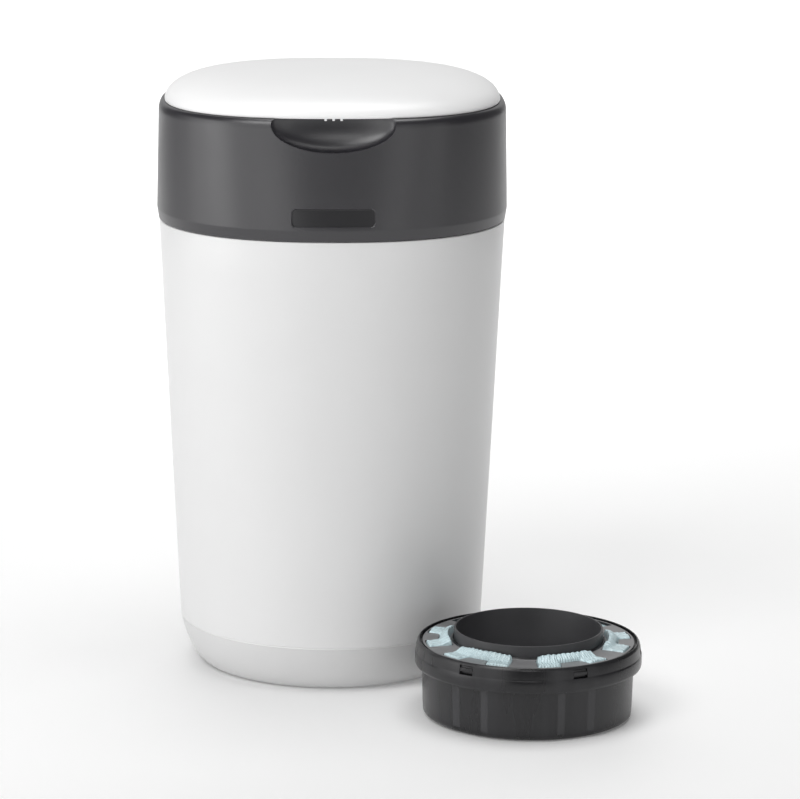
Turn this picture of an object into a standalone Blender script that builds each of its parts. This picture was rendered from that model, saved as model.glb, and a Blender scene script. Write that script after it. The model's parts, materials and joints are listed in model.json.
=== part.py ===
"""Nappy bin: a floor-standing tub, a hinged head that holds a twisting film cassette, a hinged lid,
and a spare refill cassette that stands beside it.

Origin: the centre of the tub's base, on the floor. +Z is up, and the front faces -Y.
"""

import math

import bmesh
import bpy
from mathutils import Matrix, Vector

MM = 0.001

# Clearances that several pieces share
SEAT_GAP = 0.3 * MM          # between pieces that rest on or touch each other
RUNNING_GAP = 1.0 * MM       # between pieces that turn or slide past each other
OVERRUN = 2.0 * MM           # how far a cut passes the face that it opens
WELD_DEPTH = 1.0 * MM        # how far a joined form reaches into the wall that carries it

# Facets around each form
PLAN_FACETS = 40
ROUND_FACETS = 32
CAP_FACETS = 36
PIN_FACETS = 12
CURVE_STEPS = 4
SCOOP_FACETS = 20
SHARP_ANGLE = math.radians(30.0)
MERGE_REACH = 0.01 * MM

# Plan shape: a squared circle, rounder at the foot than at the lid
FOOT_POWER = 2.0
SEAM_POWER = 2.24
LID_POWER = 2.52

# Cassette radii. The standard refill sets the size of everything around it.
SKIRT_RADIUS = 81.85 * MM
CASSETTE_TOP_RADIUS = SKIRT_RADIUS - 4.55 * MM
CASSETTE_BASE_RADIUS = CASSETTE_TOP_RADIUS - 1.0 * MM
CASSETTE_FOOT_RADIUS = CASSETTE_BASE_RADIUS - 7.5 * MM
CORE_RADIUS = SKIRT_RADIUS - 28.05 * MM
WINDOW_INNER = CORE_RADIUS + 3.0 * MM
WINDOW_OUTER = SKIRT_RADIUS - 6.95 * MM
TONGUE_TIP = WINDOW_OUTER - 9.9 * MM

# Radii that grow outward from the cassette to the bin's own outside
HOLDER_WALL = 2.4 * MM
HOLDER_CUP_RADIUS = CASSETTE_TOP_RADIUS + 1.1 * MM
HOLDER_RIM_RADIUS = SKIRT_RADIUS + 1.35 * MM
RATCHET_ROOT = HOLDER_CUP_RADIUS + HOLDER_WALL + 11.7 * MM
RATCHET_TIP = RATCHET_ROOT + 3.5 * MM
PAWL_PIVOT_CIRCLE = RATCHET_TIP + 8.6 * MM
PAWL_NOSE_RADIUS = RATCHET_ROOT + 1.5 * MM
OPENING_RADIUS = HOLDER_RIM_RADIUS + 15.3 * MM
LAND_HALF = OPENING_RADIUS + 6.0 * MM
POST_CIRCLE = OPENING_RADIUS + 7.0 * MM
HOUSING_FLANGE = POST_CIRCLE + 7.5 * MM
LINER_HALF = LAND_HALF + 5.7 * MM
LIP_HALF = LINER_HALF + 10.2 * MM    # the well under the lid starts at this lip
LID_HALF = LINER_HALF + 14.0 * MM
HEAD_SHOULDER_HALF = LID_HALF + 4.4 * MM
HEAD_EDGE_HALF = HEAD_SHOULDER_HALF + 0.4 * MM
HEAD_BELLY_HALF = HEAD_EDGE_HALF + 1.2 * MM
TUB_TOP_HALF = HEAD_EDGE_HALF - SEAT_GAP
BAND_HALF = TUB_TOP_HALF - 14.6 * MM
FOOT_HALF = BAND_HALF - 21.1 * MM
BASE_RING_OUTER = FOOT_HALF - 9.0 * MM
BASE_RING_INNER = FOOT_HALF - 33.0 * MM

# Radii inside the cassette's core and under it
PLUNGER_RADIUS = CORE_RADIUS - 8.8 * MM
HOLDER_OUTLET = CORE_RADIUS + 10.2 * MM
HOUSING_OUTLET = HOLDER_OUTLET + 6.0 * MM
GRIPPER_ROOT_RADIUS = HOUSING_OUTLET - 4.0 * MM
GRIPPER_TIP_RADIUS = 24.0 * MM

# Tub
BAND_HEIGHT = 35.3 * MM
SEAM_HEIGHT = 340.3 * MM     # the bottom edge of the head
TUB_WALL = 2.6 * MM
TUB_FLOOR = 3.4 * MM
BAND_DRAFT = 1.5 * MM
RIM_RISE = 11.7 * MM         # how far the tub's rim stands up inside the head
SHOULDER_DEPTH = 5.0 * MM
BASE_RING_DEPTH = 1.2 * MM

# Head
HEAD_TOP = SEAM_HEIGHT + 87.8 * MM
HEAD_BELLY_RISE = 8.2 * MM   # height of the chamfer along the bottom edge
HEAD_ROUND_WIDTH = 4.0 * MM
HEAD_ROUND_HEIGHT = 7.0 * MM
HEAD_WALL = 2.5 * MM
LIP_DEPTH = 7.1 * MM
SCOOP_HALF_WIDTH = 44.45 * MM
SCOOP_DROP = 20.0 * MM
SCOOP_DEPTH = 11.0 * MM
SCOOP_CENTRE_DROP = 3.6 * MM
SCOOP_WALL = 2.4 * MM
PLATE_HALF_WIDTH = 29.7 * MM
PLATE_HALF_HEIGHT = 6.5 * MM
PLATE_HEIGHT = SEAM_HEIGHT + 17.3 * MM
PLATE_CORNER = 3.0 * MM
PLATE_DEPTH = 0.8 * MM

# Lid
LID_RISE = 21.0 * MM
LID_WALL = 2.2 * MM
LID_CROWN_POWER = 4.0
LID_DOME_SHARES = (1.0, 0.993, 0.972, 0.935, 0.86, 0.72, 0.45, 0.12)
LID_INNER_SHARES = (1.0, 0.972, 0.9, 0.74, 0.12)
LINER_DROP = 3.5 * MM        # below the lid's lower edge
LINER_WALL = 2.2 * MM
LINER_FLANGE_RISE = 0.5 * MM
LINER_RIM_HEIGHT = 2.2 * MM
SEAL_WIDTH = 4.0 * MM
SEAL_INSET = 0.8 * MM
GRIP_TOOTH_PITCH = 5.7 * MM
GRIP_TOOTH_HALF = 0.9 * MM
GRIP_TOOTH_DROP = 1.5 * MM
PLUNGER_DEPTH = 23.0 * MM
PLUNGER_ROUND = 14.0 * MM

# Hinges: the head's at the back of the tub, the lid's at the back of the head
HEAD_AXIS_Y = TUB_TOP_HALF + 6.8 * MM
HEAD_AXIS_Z = SEAM_HEIGHT + 0.7 * MM
HEAD_BARREL_RADIUS = 5.0 * MM
HEAD_BARREL_HALF = 31.7 * MM
TUB_EAR_WIDTH = 12.0 * MM
LID_AXIS_Y = HEAD_SHOULDER_HALF + 4.8 * MM
LID_AXIS_Z = HEAD_TOP - 1.1 * MM
LID_BARREL_RADIUS = 4.3 * MM
LID_BARREL_HALF = 27.7 * MM
HEAD_EAR_WIDTH = 10.0 * MM
HINGE_PIN_RADIUS = 1.8 * MM
PIN_HEAD_RADIUS = 3.2 * MM
PIN_HEAD_LENGTH = 1.4 * MM
EAR_WEB_DROP = 14.0 * MM
EAR_WEB_THICKNESS = 4.0 * MM
WEB_REACH = 12.0 * MM        # how far inside the wall a web starts before it is trimmed to the wall

# Inner deck of the head
LAND_HEIGHT = HEAD_TOP - 7.4 * MM
DECK_STEP = 8.7 * MM         # from the land down to the edge of the opening
DECK_WALL = 2.5 * MM
DECK_DRAFT = 1.5 * MM
DECK_SKIRT = 9.0 * MM
COLLAR_DEPTH = 6.0 * MM
POST_COUNT = 4
POST_RADIUS = 4.2 * MM
SCREW_RADIUS = 1.3 * MM
SCREW_HEAD_RADIUS = 3.2 * MM
SCREW_HEAD_HEIGHT = 2.0 * MM
SCREW_LENGTH = 16.0 * MM
SCREW_FACETS = 10

# Cassette, as heights above its own foot
CORE_WALL = 1.6 * MM
CAP_HEIGHT = 55.2 * MM
CASSETTE_HEIGHT = CAP_HEIGHT + 8.7 * MM
CASSETTE_FOOT_ROUND = 5.0 * MM
CASSETTE_FLOOR = 2.2 * MM
CASSETTE_WALL = 1.6 * MM
FLUTE_COUNT = 6
FLUTE_DEPTH = 1.2 * MM
FLUTE_PHASE = math.radians(-3.5)
SKIRT_BOTTOM = CAP_HEIGHT - 18.2 * MM
SKIRT_STEP = CAP_HEIGHT - 9.4 * MM
SKIRT_STEP_DEPTH = 0.6 * MM
SKIRT_WALL = 1.8 * MM
CAP_WALL = 1.6 * MM
PLATE_SINK = 0.8 * MM
CHANNEL_INNER = SKIRT_RADIUS - 5.35 * MM
CHANNEL_OUTER = SKIRT_RADIUS - 3.55 * MM
CHANNEL_DEPTH = 3.0 * MM
CHANNEL_WALL = 1.2 * MM
RIM_WIDTH = 0.7 * MM
RIM_BEVEL_WIDTH = 1.3 * MM
RIM_BEVEL_DROP = 1.9 * MM
HUB_RISE = 1.5 * MM
HUB_WIDTH = 1.9 * MM
HUB_WALL = 1.0 * MM
WINDOW_HALF_ANGLE = math.radians(20.5)
TONGUE_HALF_ANGLE = math.radians(8.5)
TONGUE_TIP_HALF_ANGLE = math.radians(6.8)
SNAP_WIDTH = 11.0 * MM
SNAP_HEIGHT = 2.3 * MM
SNAP_BAR = 2.3 * MM
SNAP_MID = CAP_HEIGHT - 5.45 * MM
FILM_CLEARANCE = 0.8 * MM
FILM_PLEAT = 0.9 * MM
FILM_PLEATS = 14

# Where the spare refill stands, from the tub's centre
REFILL_GAP = 14.38 * MM
REFILL_DISTANCE = BAND_HALF + SKIRT_RADIUS + REFILL_GAP
REFILL_TURN = math.radians(-47.793)

# Cassette holder and what turns with it
HOLDER_RIM_RISE = 22.5 * MM
DIAL_HEIGHT = 9.5 * MM
DIAL_SINK = 6.4 * MM         # the dial's top lies this far below the deck's land
HOLDER_FLOOR = LAND_HEIGHT - DIAL_SINK - DIAL_HEIGHT - HOLDER_RIM_RISE - SKIRT_BOTTOM - SEAT_GAP * 2
RIB_HALF_WIDTH = 6.0 * MM
RIB_CLEARANCE = 0.4 * MM
RATCHET_TEETH = 24
RATCHET_THICKNESS = 2.5 * MM
TOOTH_RISE_SHARE = 0.7       # share of a tooth's pitch at which its long slope reaches the tip
TOOTH_DROP_SHARE = 0.9       # share at which the tip ends and the steep face starts
PAWL_REST_SHARE = 0.2        # share at which the pawl's nose rests, in front of a steep face
DIAL_WALL = 2.2 * MM
DIAL_SKIRT = 6.0 * MM
DIAL_GRIPS = 8
DIAL_GRIP_HALF_WIDTH = 1.6 * MM
DIAL_GRIP_RISE = 2.2 * MM

# Housing under the deck
HOUSING_WALL = 2.4 * MM
HOUSING_RUN = 1.5 * MM
HOUSING_DROP = 3.7 * MM      # between the holder's underside and the housing's floor

# Film gripper, a ring of soft fingers under the cassette
GRIPPER_THICKNESS = 2.0 * MM
GRIPPER_FINGERS = 12
GRIPPER_DROP = 5.5 * MM
GRIPPER_SLIT = 1.6 * MM

# Pawl
PAWL_ANGLE = math.radians(150.0)
PAWL_HUB_RADIUS = 4.4 * MM
PAWL_PIN_RADIUS = 2.0 * MM
PAWL_STEM_RADIUS = 3.4 * MM
PAWL_LENGTH = 22.0 * MM
PAWL_ARM_HALF = 1.5 * MM

# Film cutter under the housing
GUIDE_OPENING_HALF_LENGTH = HOUSING_OUTLET + 8.0 * MM
GUIDE_OPENING_HALF_DEPTH = HOUSING_OUTLET - 12.0 * MM
GUIDE_HALF_LENGTH = GUIDE_OPENING_HALF_LENGTH + 8.0 * MM
GUIDE_HALF_DEPTH = GUIDE_OPENING_HALF_DEPTH + 17.0 * MM
GUIDE_HEIGHT = 8.4 * MM
GUIDE_SLOT_DEPTH = 8.0 * MM
GUIDE_SLOT_RISE = 2.0 * MM
CARRIAGE_THICKNESS = 2.6 * MM
CARRIAGE_HALF_LENGTH = 8.0 * MM
CARRIAGE_MOUTH_HALF = 12.0 * MM
CARRIAGE_MOUTH_DEPTH = 9.0 * MM
BLADE_THICKNESS = 0.6 * MM
BLADE_HALF_LENGTH = 10.0 * MM
BLADE_HALF_WIDTH = 3.0 * MM
BLADE_ANGLE = math.radians(38.0)
KNOB_HALF_LENGTH = 7.5 * MM
KNOB_HALF_DEPTH = 11.0 * MM
KNOB_HEIGHT = 9.0 * MM
KNOB_GAP_FROM_SLOT = 3.0 * MM


# Scene

def clear_scene():
    for item in list(bpy.data.objects):
        bpy.data.objects.remove(item, do_unlink=True)


def new_collection(name):
    group = bpy.data.collections.new(name)
    bpy.context.scene.collection.children.link(group)
    return group


def material(name, colour, roughness, metallic=0.0):
    """A plain Principled material in the part's colour."""
    paint = bpy.data.materials.new(name)
    paint.use_nodes = True
    shader = paint.node_tree.nodes["Principled BSDF"]
    shader.inputs["Base Color"].default_value = (*colour, 1.0)
    shader.inputs["Roughness"].default_value = roughness
    shader.inputs["Metallic"].default_value = metallic
    return paint


def add_part(name, mesh, paint, location=(0, 0, 0)):
    """A sub-part in the bin's own collection."""
    part = bpy.data.objects.new(name, mesh)
    part.location = location
    mesh.materials.append(paint)
    mesh.shade_smooth()
    mesh.set_sharp_from_angle(angle=SHARP_ANGLE)
    parts.objects.link(part)
    return part


def add_tool(name, mesh, location=(0, 0, 0)):
    """A solid that cuts or joins another one and isn't a part itself."""
    tool = bpy.data.objects.new(name, mesh)
    tool.location = location
    tool.hide_render = True
    tool.display_type = "WIRE"
    tools.objects.link(tool)
    return tool


def boolean(part, tool, operation):
    step = part.modifiers.new(operation.lower() + " " + tool.name, "BOOLEAN")
    step.operation = operation
    step.solver = "EXACT"
    step.object = tool


def cut(part, tool):
    boolean(part, tool, "DIFFERENCE")


def join(part, tool):
    boolean(part, tool, "UNION")


def keep_common(part, tool):
    boolean(part, tool, "INTERSECT")


def add_axis(name, location, parent=None):
    """An empty on a joint's axis, which carries the pieces that move about it."""
    axis = bpy.data.objects.new(name, None)
    axis.location = Vector(location)
    if parent:
        axis.parent = parent
        axis.location = Vector(location) - world_place(parent)
    parts.objects.link(axis)
    return axis


def world_place(item):
    place = item.location.copy()
    while item.parent:
        item = item.parent
        place = place + item.location
    return place


def carry(axis, pieces):
    """Hangs pieces, placed in world coordinates, on an axis without moving them."""
    for piece in pieces:
        piece.parent = axis
        piece.matrix_parent_inverse = Matrix.Translation(-world_place(axis))


# Plan shapes and lofts

def plan_power(height):
    """The squareness of the bin's plan at a height."""
    if height < SEAM_HEIGHT:
        return FOOT_POWER + (SEAM_POWER - FOOT_POWER) * height / SEAM_HEIGHT
    lid_edge = HEAD_TOP + SEAT_GAP
    climb = min(1.0, (height - SEAM_HEIGHT) / (lid_edge - SEAM_HEIGHT))
    return SEAM_POWER + (LID_POWER - SEAM_POWER) * climb


def squared_circle(half, power, height, facets=PLAN_FACETS):
    points = []
    for step in range(facets):
        turn = 2.0 * math.pi * step / facets
        across = math.copysign(abs(math.cos(turn)) ** (2.0 / power), math.cos(turn))
        along = math.copysign(abs(math.sin(turn)) ** (2.0 / power), math.sin(turn))
        points.append((half * across, half * along, height))
    return points


def loft(name, rings, closed):
    """A skin over rings of equal count: closed into a ring-shaped wall, or capped at both ends."""
    build = bmesh.new()
    rows = []
    for ring in rings:
        rows.append([build.verts.new(point) for point in ring])
    pairs = list(zip(rows, rows[1:]))
    if closed:
        pairs.append((rows[-1], rows[0]))
    else:
        build.faces.new(rows[0])
        build.faces.new(rows[-1])
    for lower, upper in pairs:
        for step in range(len(lower)):
            after = (step + 1) % len(lower)
            build.faces.new((lower[step], lower[after], upper[after], upper[step]))
    return finish_mesh(name, build)


def finish_mesh(name, build):
    bmesh.ops.recalc_face_normals(build, faces=build.faces)
    mesh = bpy.data.meshes.new(name)
    build.to_mesh(mesh)
    build.free()
    return mesh


def bin_loft(name, stations, closed, facets=PLAN_FACETS):
    """A loft through (half width, height) stations that follows the bin's own plan shape."""
    rings = [squared_circle(half, plan_power(height), height, facets) for half, height in stations]
    return loft(name, rings, closed)


# Primitive solids

def turned(name, profile, facets, paint, location=(0, 0, 0)):
    """A turned solid. The profile holds (radius, height) points, clockwise, and is closed into a
    ring unless it starts and ends on the axis."""
    mesh = bpy.data.meshes.new(name)
    edges = [(step, step + 1) for step in range(len(profile) - 1)]
    if profile[0][0] > 0.0:
        edges.append((len(profile) - 1, 0))
    mesh.from_pydata([(radius, 0.0, height) for radius, height in profile], edges, [])
    solid = add_part(name, mesh, paint, location)
    spin = solid.modifiers.new("turn", "SCREW")
    spin.steps = facets
    spin.render_steps = facets
    spin.use_merge_vertices = True
    spin.merge_threshold = MERGE_REACH
    spin.use_smooth_shade = True
    return solid


def box_into(build, low, high, turn=None):
    """Adds a box between two corners to a mesh in the making, turned about Z if need be."""
    centre = (Vector(low) + Vector(high)) / 2.0
    size = Vector(high) - Vector(low)
    shape = Matrix.Translation(centre) @ Matrix.Diagonal((*size, 1.0))
    if turn is not None:
        shape = Matrix.Rotation(turn, 4, "Z") @ shape
    bmesh.ops.create_cube(build, size=1.0, matrix=shape)


def boxes(name, corners, turns=(0.0,)):
    """One mesh of boxes, repeated at each angle about Z."""
    build = bmesh.new()
    for turn in turns:
        for low, high in corners:
            box_into(build, low, high, turn)
    return finish_mesh(name, build)


def rods(name, rods_wanted, facets=PIN_FACETS):
    """One mesh of round rods. Each is (radius, first end, last end)."""
    build = bmesh.new()
    for radius, first, last in rods_wanted:
        first = Vector(first)
        last = Vector(last)
        lean = (last - first).to_track_quat("Z", "Y").to_matrix().to_4x4()
        place = Matrix.Translation((first + last) / 2.0) @ lean
        bmesh.ops.create_cone(build, cap_ends=True, segments=facets, radius1=radius, radius2=radius,
                              depth=(last - first).length, matrix=place)
    return finish_mesh(name, build)


def prisms(name, outlines, low, high):
    """One mesh of upright prisms over flat outlines, given as lists of (x, y)."""
    build = bmesh.new()
    for outline in outlines:
        base = build.faces.new([build.verts.new((x, y, low)) for x, y in outline])
        grown = bmesh.ops.extrude_face_region(build, geom=[base])
        raised = [item for item in grown["geom"] if isinstance(item, bmesh.types.BMVert)]
        bmesh.ops.translate(build, vec=(0.0, 0.0, high - low), verts=raised)
    return finish_mesh(name, build)


def polar(radius, turn):
    return (radius * math.cos(turn), radius * math.sin(turn))


def ellipsoid(name, radii, centre):
    build = bmesh.new()
    shape = Matrix.Translation(centre) @ Matrix.Diagonal((*radii, 1.0))
    bmesh.ops.create_uvsphere(build, u_segments=SCOOP_FACETS, v_segments=SCOOP_FACETS // 2,
                              radius=1.0, matrix=shape)
    return finish_mesh(name, build)


# Shared section sizes of tub, head and lid

def head_outer(height):
    """The head's outer half width, from the chamfer along its edge up to the shoulder."""
    belly = SEAM_HEIGHT + HEAD_BELLY_RISE
    if height < belly:
        climb = (height - SEAM_HEIGHT) / HEAD_BELLY_RISE
        return HEAD_EDGE_HALF + (HEAD_BELLY_HALF - HEAD_EDGE_HALF) * climb
    shoulder = HEAD_TOP - HEAD_ROUND_HEIGHT
    climb = (height - belly) / (shoulder - belly)
    return HEAD_BELLY_HALF + (HEAD_SHOULDER_HALF - HEAD_BELLY_HALF) * min(climb, 1.0)


def head_profile(inset):
    """Stations up the head's outside, moved in by a distance."""
    shoulder = HEAD_TOP - HEAD_ROUND_HEIGHT
    stations = []
    for height in (SEAM_HEIGHT, SEAM_HEIGHT + HEAD_BELLY_RISE, shoulder):
        stations.append((head_outer(height) - inset, height))
    for step in range(1, CURVE_STEPS):
        turn = math.pi / 2.0 * step / (CURVE_STEPS - 1)
        half = HEAD_SHOULDER_HALF - HEAD_ROUND_WIDTH * (1.0 - math.cos(turn))
        rise = (HEAD_ROUND_HEIGHT - inset) * math.sin(turn)
        stations.append((half - inset * math.cos(turn), shoulder + rise))
    return stations


def head_core(name, inset):
    """A solid that fills the head up to a distance inside its outer face."""
    stations = head_profile(inset)
    stations.insert(0, (stations[0][0], SEAM_HEIGHT - OVERRUN))
    return add_tool(name, bin_loft(name, stations, closed=False))


def base_curve(wall, floor):
    """Stations from the foot up to the band, moved in by the wall and up by the floor."""
    stations = []
    for step in range(CURVE_STEPS + 1):
        share = 1.0 - step / CURVE_STEPS
        turn = share * math.pi / 2.0
        rise = (BAND_HEIGHT - floor) * (1.0 - math.sin(turn) ** 1.5)
        pull = BAND_HALF - FOOT_HALF - BAND_DRAFT
        half = BAND_HALF - BAND_DRAFT * share - pull * (1.0 - math.cos(turn))
        stations.append((half - wall, floor + rise))
    return stations


# Tub

def make_tub(paint):
    rim_top = SEAM_HEIGHT + RIM_RISE
    shoulder = SEAM_HEIGHT - SEAT_GAP
    rim_half = HEAD_EDGE_HALF - HEAD_WALL - RUNNING_GAP
    ring_top = BASE_RING_DEPTH
    stations = [
        (BASE_RING_INNER, 0.0),
        (BASE_RING_INNER + BASE_RING_DEPTH, ring_top),
        (BASE_RING_OUTER - BASE_RING_DEPTH, ring_top),
        (BASE_RING_OUTER, 0.0),
    ]
    stations += base_curve(0.0, 0.0)
    stations += [
        (TUB_TOP_HALF, shoulder),
        (rim_half, shoulder),
        (rim_half, rim_top),
        (rim_half - TUB_WALL, rim_top),
        (rim_half - TUB_WALL, shoulder - TUB_WALL),
        (TUB_TOP_HALF - TUB_WALL - SEAT_GAP, shoulder - TUB_WALL - SHOULDER_DEPTH),
    ]
    stations += reversed(base_curve(TUB_WALL, TUB_FLOOR))
    tub = add_part("tub", bin_loft("tub", stations, closed=False), paint)

    ear_inner = HEAD_BARREL_HALF + SEAT_GAP
    ear_outer = ear_inner + TUB_EAR_WIDTH
    wall_y = TUB_TOP_HALF - WEB_REACH
    ears = []
    webs = []
    for side in (-1, 1):
        inner, outer = sorted((side * ear_inner, side * ear_outer))
        ears.append((HEAD_BARREL_RADIUS, (inner, HEAD_AXIS_Y, HEAD_AXIS_Z),
                     (outer, HEAD_AXIS_Y, HEAD_AXIS_Z)))
        webs.append(((inner, wall_y, SEAM_HEIGHT - EAR_WEB_DROP),
                     (outer, HEAD_AXIS_Y + EAR_WEB_THICKNESS, SEAM_HEIGHT - SEAT_GAP - WELD_DEPTH)))
    web = add_tool("tub_ear_webs", boxes("tub_ear_webs", webs))
    middle = TUB_WALL / 2.0
    core = bin_loft("tub_core", [(BAND_HALF - middle, BAND_HEIGHT), (TUB_TOP_HALF - middle, SEAM_HEIGHT)],
                    closed=False)
    cut(web, add_tool("tub_core", core))
    join(tub, web)
    join(tub, add_tool("tub_ears", rods("tub_ears", ears)))
    bore = HINGE_PIN_RADIUS + SEAT_GAP
    reach = ear_outer + OVERRUN
    hole = rods("tub_ear_bore", [(bore, (-reach, HEAD_AXIS_Y, HEAD_AXIS_Z),
                                  (reach, HEAD_AXIS_Y, HEAD_AXIS_Z))])
    cut(tub, add_tool("tub_ear_bore", hole))
    return tub


def make_hinge_pin(name, paint, ear_outer, axis_y, axis_z):
    """A steel pin with a flat head at one end."""
    tip = ear_outer + PIN_HEAD_LENGTH
    shank = -ear_outer - SEAT_GAP
    profile = [
        (0.0, tip),
        (HINGE_PIN_RADIUS, tip),
        (HINGE_PIN_RADIUS, shank),
        (PIN_HEAD_RADIUS, shank),
        (PIN_HEAD_RADIUS, shank - PIN_HEAD_LENGTH),
        (0.0, shank - PIN_HEAD_LENGTH),
    ]
    pin = turned(name, profile, PIN_FACETS, paint, (0.0, axis_y, axis_z))
    pin.rotation_euler = (0.0, math.pi / 2.0, 0.0)
    return pin


# Head

def make_head_shell(paint):
    lip_bottom = HEAD_TOP - LIP_DEPTH
    stations = head_profile(0.0)
    stations += [
        (LIP_HALF, HEAD_TOP),
        (LIP_HALF, lip_bottom),
        (LIP_HALF + HEAD_WALL, lip_bottom),
        (LIP_HALF + HEAD_WALL, HEAD_TOP - HEAD_WALL),
    ]
    stations += reversed(head_profile(HEAD_WALL)[:-1])
    shell = add_part("head_shell", bin_loft("head_shell", stations, closed=True), paint)
    add_scoop(shell)
    add_name_plate(shell)
    add_head_barrel(shell)
    add_head_ears(shell)
    return shell


def scoop_centre():
    height = HEAD_TOP - SCOOP_CENTRE_DROP
    power = plan_power(height)
    share = 1.0 - (SCOOP_HALF_WIDTH / HEAD_SHOULDER_HALF) ** power
    return (0.0, -HEAD_SHOULDER_HALF * share ** (1.0 / power), height)


def scoop_bowl(name, wall):
    """The scoop's bowl, grown outward by a wall."""
    radii = (SCOOP_HALF_WIDTH + wall, SCOOP_DEPTH + wall, SCOOP_DROP + wall)
    return add_tool(name, ellipsoid(name, radii, scoop_centre()))


def add_scoop(shell):
    """A wall that bulges into the head, hollowed by the scoop for the fingers."""
    envelope = head_profile(HEAD_WALL / 2.0)
    envelope_top = HEAD_TOP - SEAT_GAP
    stations = [(half, min(height, envelope_top)) for half, height in envelope[:-1]]
    stations.append((LIP_HALF, envelope_top))
    inside = add_tool("scoop_envelope", bin_loft("scoop_envelope", stations, closed=False))
    wall = scoop_bowl("scoop_wall", SCOOP_WALL)
    keep_common(wall, inside)
    join(shell, wall)
    cut(shell, scoop_bowl("scoop_hollow", 0.0))


def add_name_plate(shell):
    """A shallow rounded recess across the front, as deep everywhere as the wall curves."""
    outline = []
    for corner, (side_x, side_z) in enumerate(((1, 1), (-1, 1), (-1, -1), (1, -1))):
        for step in range(CURVE_STEPS):
            turn = math.pi / 2.0 * (corner + step / (CURVE_STEPS - 1))
            x = side_x * (PLATE_HALF_WIDTH - PLATE_CORNER) + PLATE_CORNER * math.cos(turn)
            z = side_z * (PLATE_HALF_HEIGHT - PLATE_CORNER) + PLATE_CORNER * math.sin(turn)
            outline.append((x, z))
    front = HEAD_BELLY_HALF + OVERRUN
    back = HEAD_BELLY_HALF / 2.0
    mesh = prisms("plate_block", [outline], back, front)
    mesh.transform(Matrix.Rotation(math.pi / 2.0, 4, "X"))
    mesh.transform(Matrix.Translation((0.0, 0.0, PLATE_HEIGHT)))
    block = add_tool("plate_block", mesh)
    cut(block, head_core("plate_core", PLATE_DEPTH))
    cut(shell, block)


def add_head_barrel(shell):
    """The middle knuckle of the hinge between head and tub."""
    half = HEAD_BARREL_HALF
    web_low = HEAD_AXIS_Z + SEAT_GAP
    web_high = SEAM_HEIGHT + HEAD_BELLY_RISE + SEAT_GAP
    wall_y = HEAD_EDGE_HALF - WEB_REACH
    webs = [((-half, wall_y, web_low), (half, HEAD_AXIS_Y, web_high - WELD_DEPTH))]
    web = add_tool("head_barrel_web", boxes("head_barrel_web", webs))
    cut(web, head_core("head_barrel_core", HEAD_WALL / 2.0))
    join(shell, web)
    barrel = rods("head_barrel", [(HEAD_BARREL_RADIUS, (-half, HEAD_AXIS_Y, HEAD_AXIS_Z),
                                   (half, HEAD_AXIS_Y, HEAD_AXIS_Z))])
    join(shell, add_tool("head_barrel", barrel))
    reach = half + OVERRUN
    bore = rods("head_barrel_bore", [(HINGE_PIN_RADIUS + SEAT_GAP, (-reach, HEAD_AXIS_Y, HEAD_AXIS_Z),
                                      (reach, HEAD_AXIS_Y, HEAD_AXIS_Z))])
    cut(shell, add_tool("head_barrel_bore", bore))


def add_head_ears(shell):
    """Two ears at the top of the head's back, which carry the lid's hinge pin."""
    inner = LID_BARREL_HALF + SEAT_GAP
    outer = inner + HEAD_EAR_WIDTH
    wall_y = HEAD_SHOULDER_HALF - WEB_REACH
    ears = []
    webs = []
    for side in (-1, 1):
        low, high = sorted((side * inner, side * outer))
        ears.append((LID_BARREL_RADIUS, (low, LID_AXIS_Y, LID_AXIS_Z), (high, LID_AXIS_Y, LID_AXIS_Z)))
        webs.append(((low, wall_y, LID_AXIS_Z - EAR_WEB_DROP), (high, LID_AXIS_Y + EAR_WEB_THICKNESS,
                                                              LID_AXIS_Z)))
    web = add_tool("head_ear_webs", boxes("head_ear_webs", webs))
    cut(web, head_core("head_ear_core", HEAD_WALL / 2.0))
    join(shell, web)
    join(shell, add_tool("head_ears", rods("head_ears", ears)))
    reach = outer + OVERRUN
    bore = rods("head_ear_bore", [(HINGE_PIN_RADIUS + SEAT_GAP, (-reach, LID_AXIS_Y, LID_AXIS_Z),
                                   (reach, LID_AXIS_Y, LID_AXIS_Z))])
    cut(shell, add_tool("head_ear_bore", bore))


def post_turns():
    return [math.pi / POST_COUNT + 2.0 * math.pi * step / POST_COUNT for step in range(POST_COUNT)]


def holder_step():
    """Underside of the step in the holder's wall, which the cassette's skirt rests over."""
    return HOLDER_FLOOR - HOLDER_WALL + SKIRT_BOTTOM


def flange_top():
    """Top of the housing's flange, just under the ratchet ring."""
    return holder_step() - RATCHET_THICKNESS - SEAT_GAP - SEAT_GAP


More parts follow.
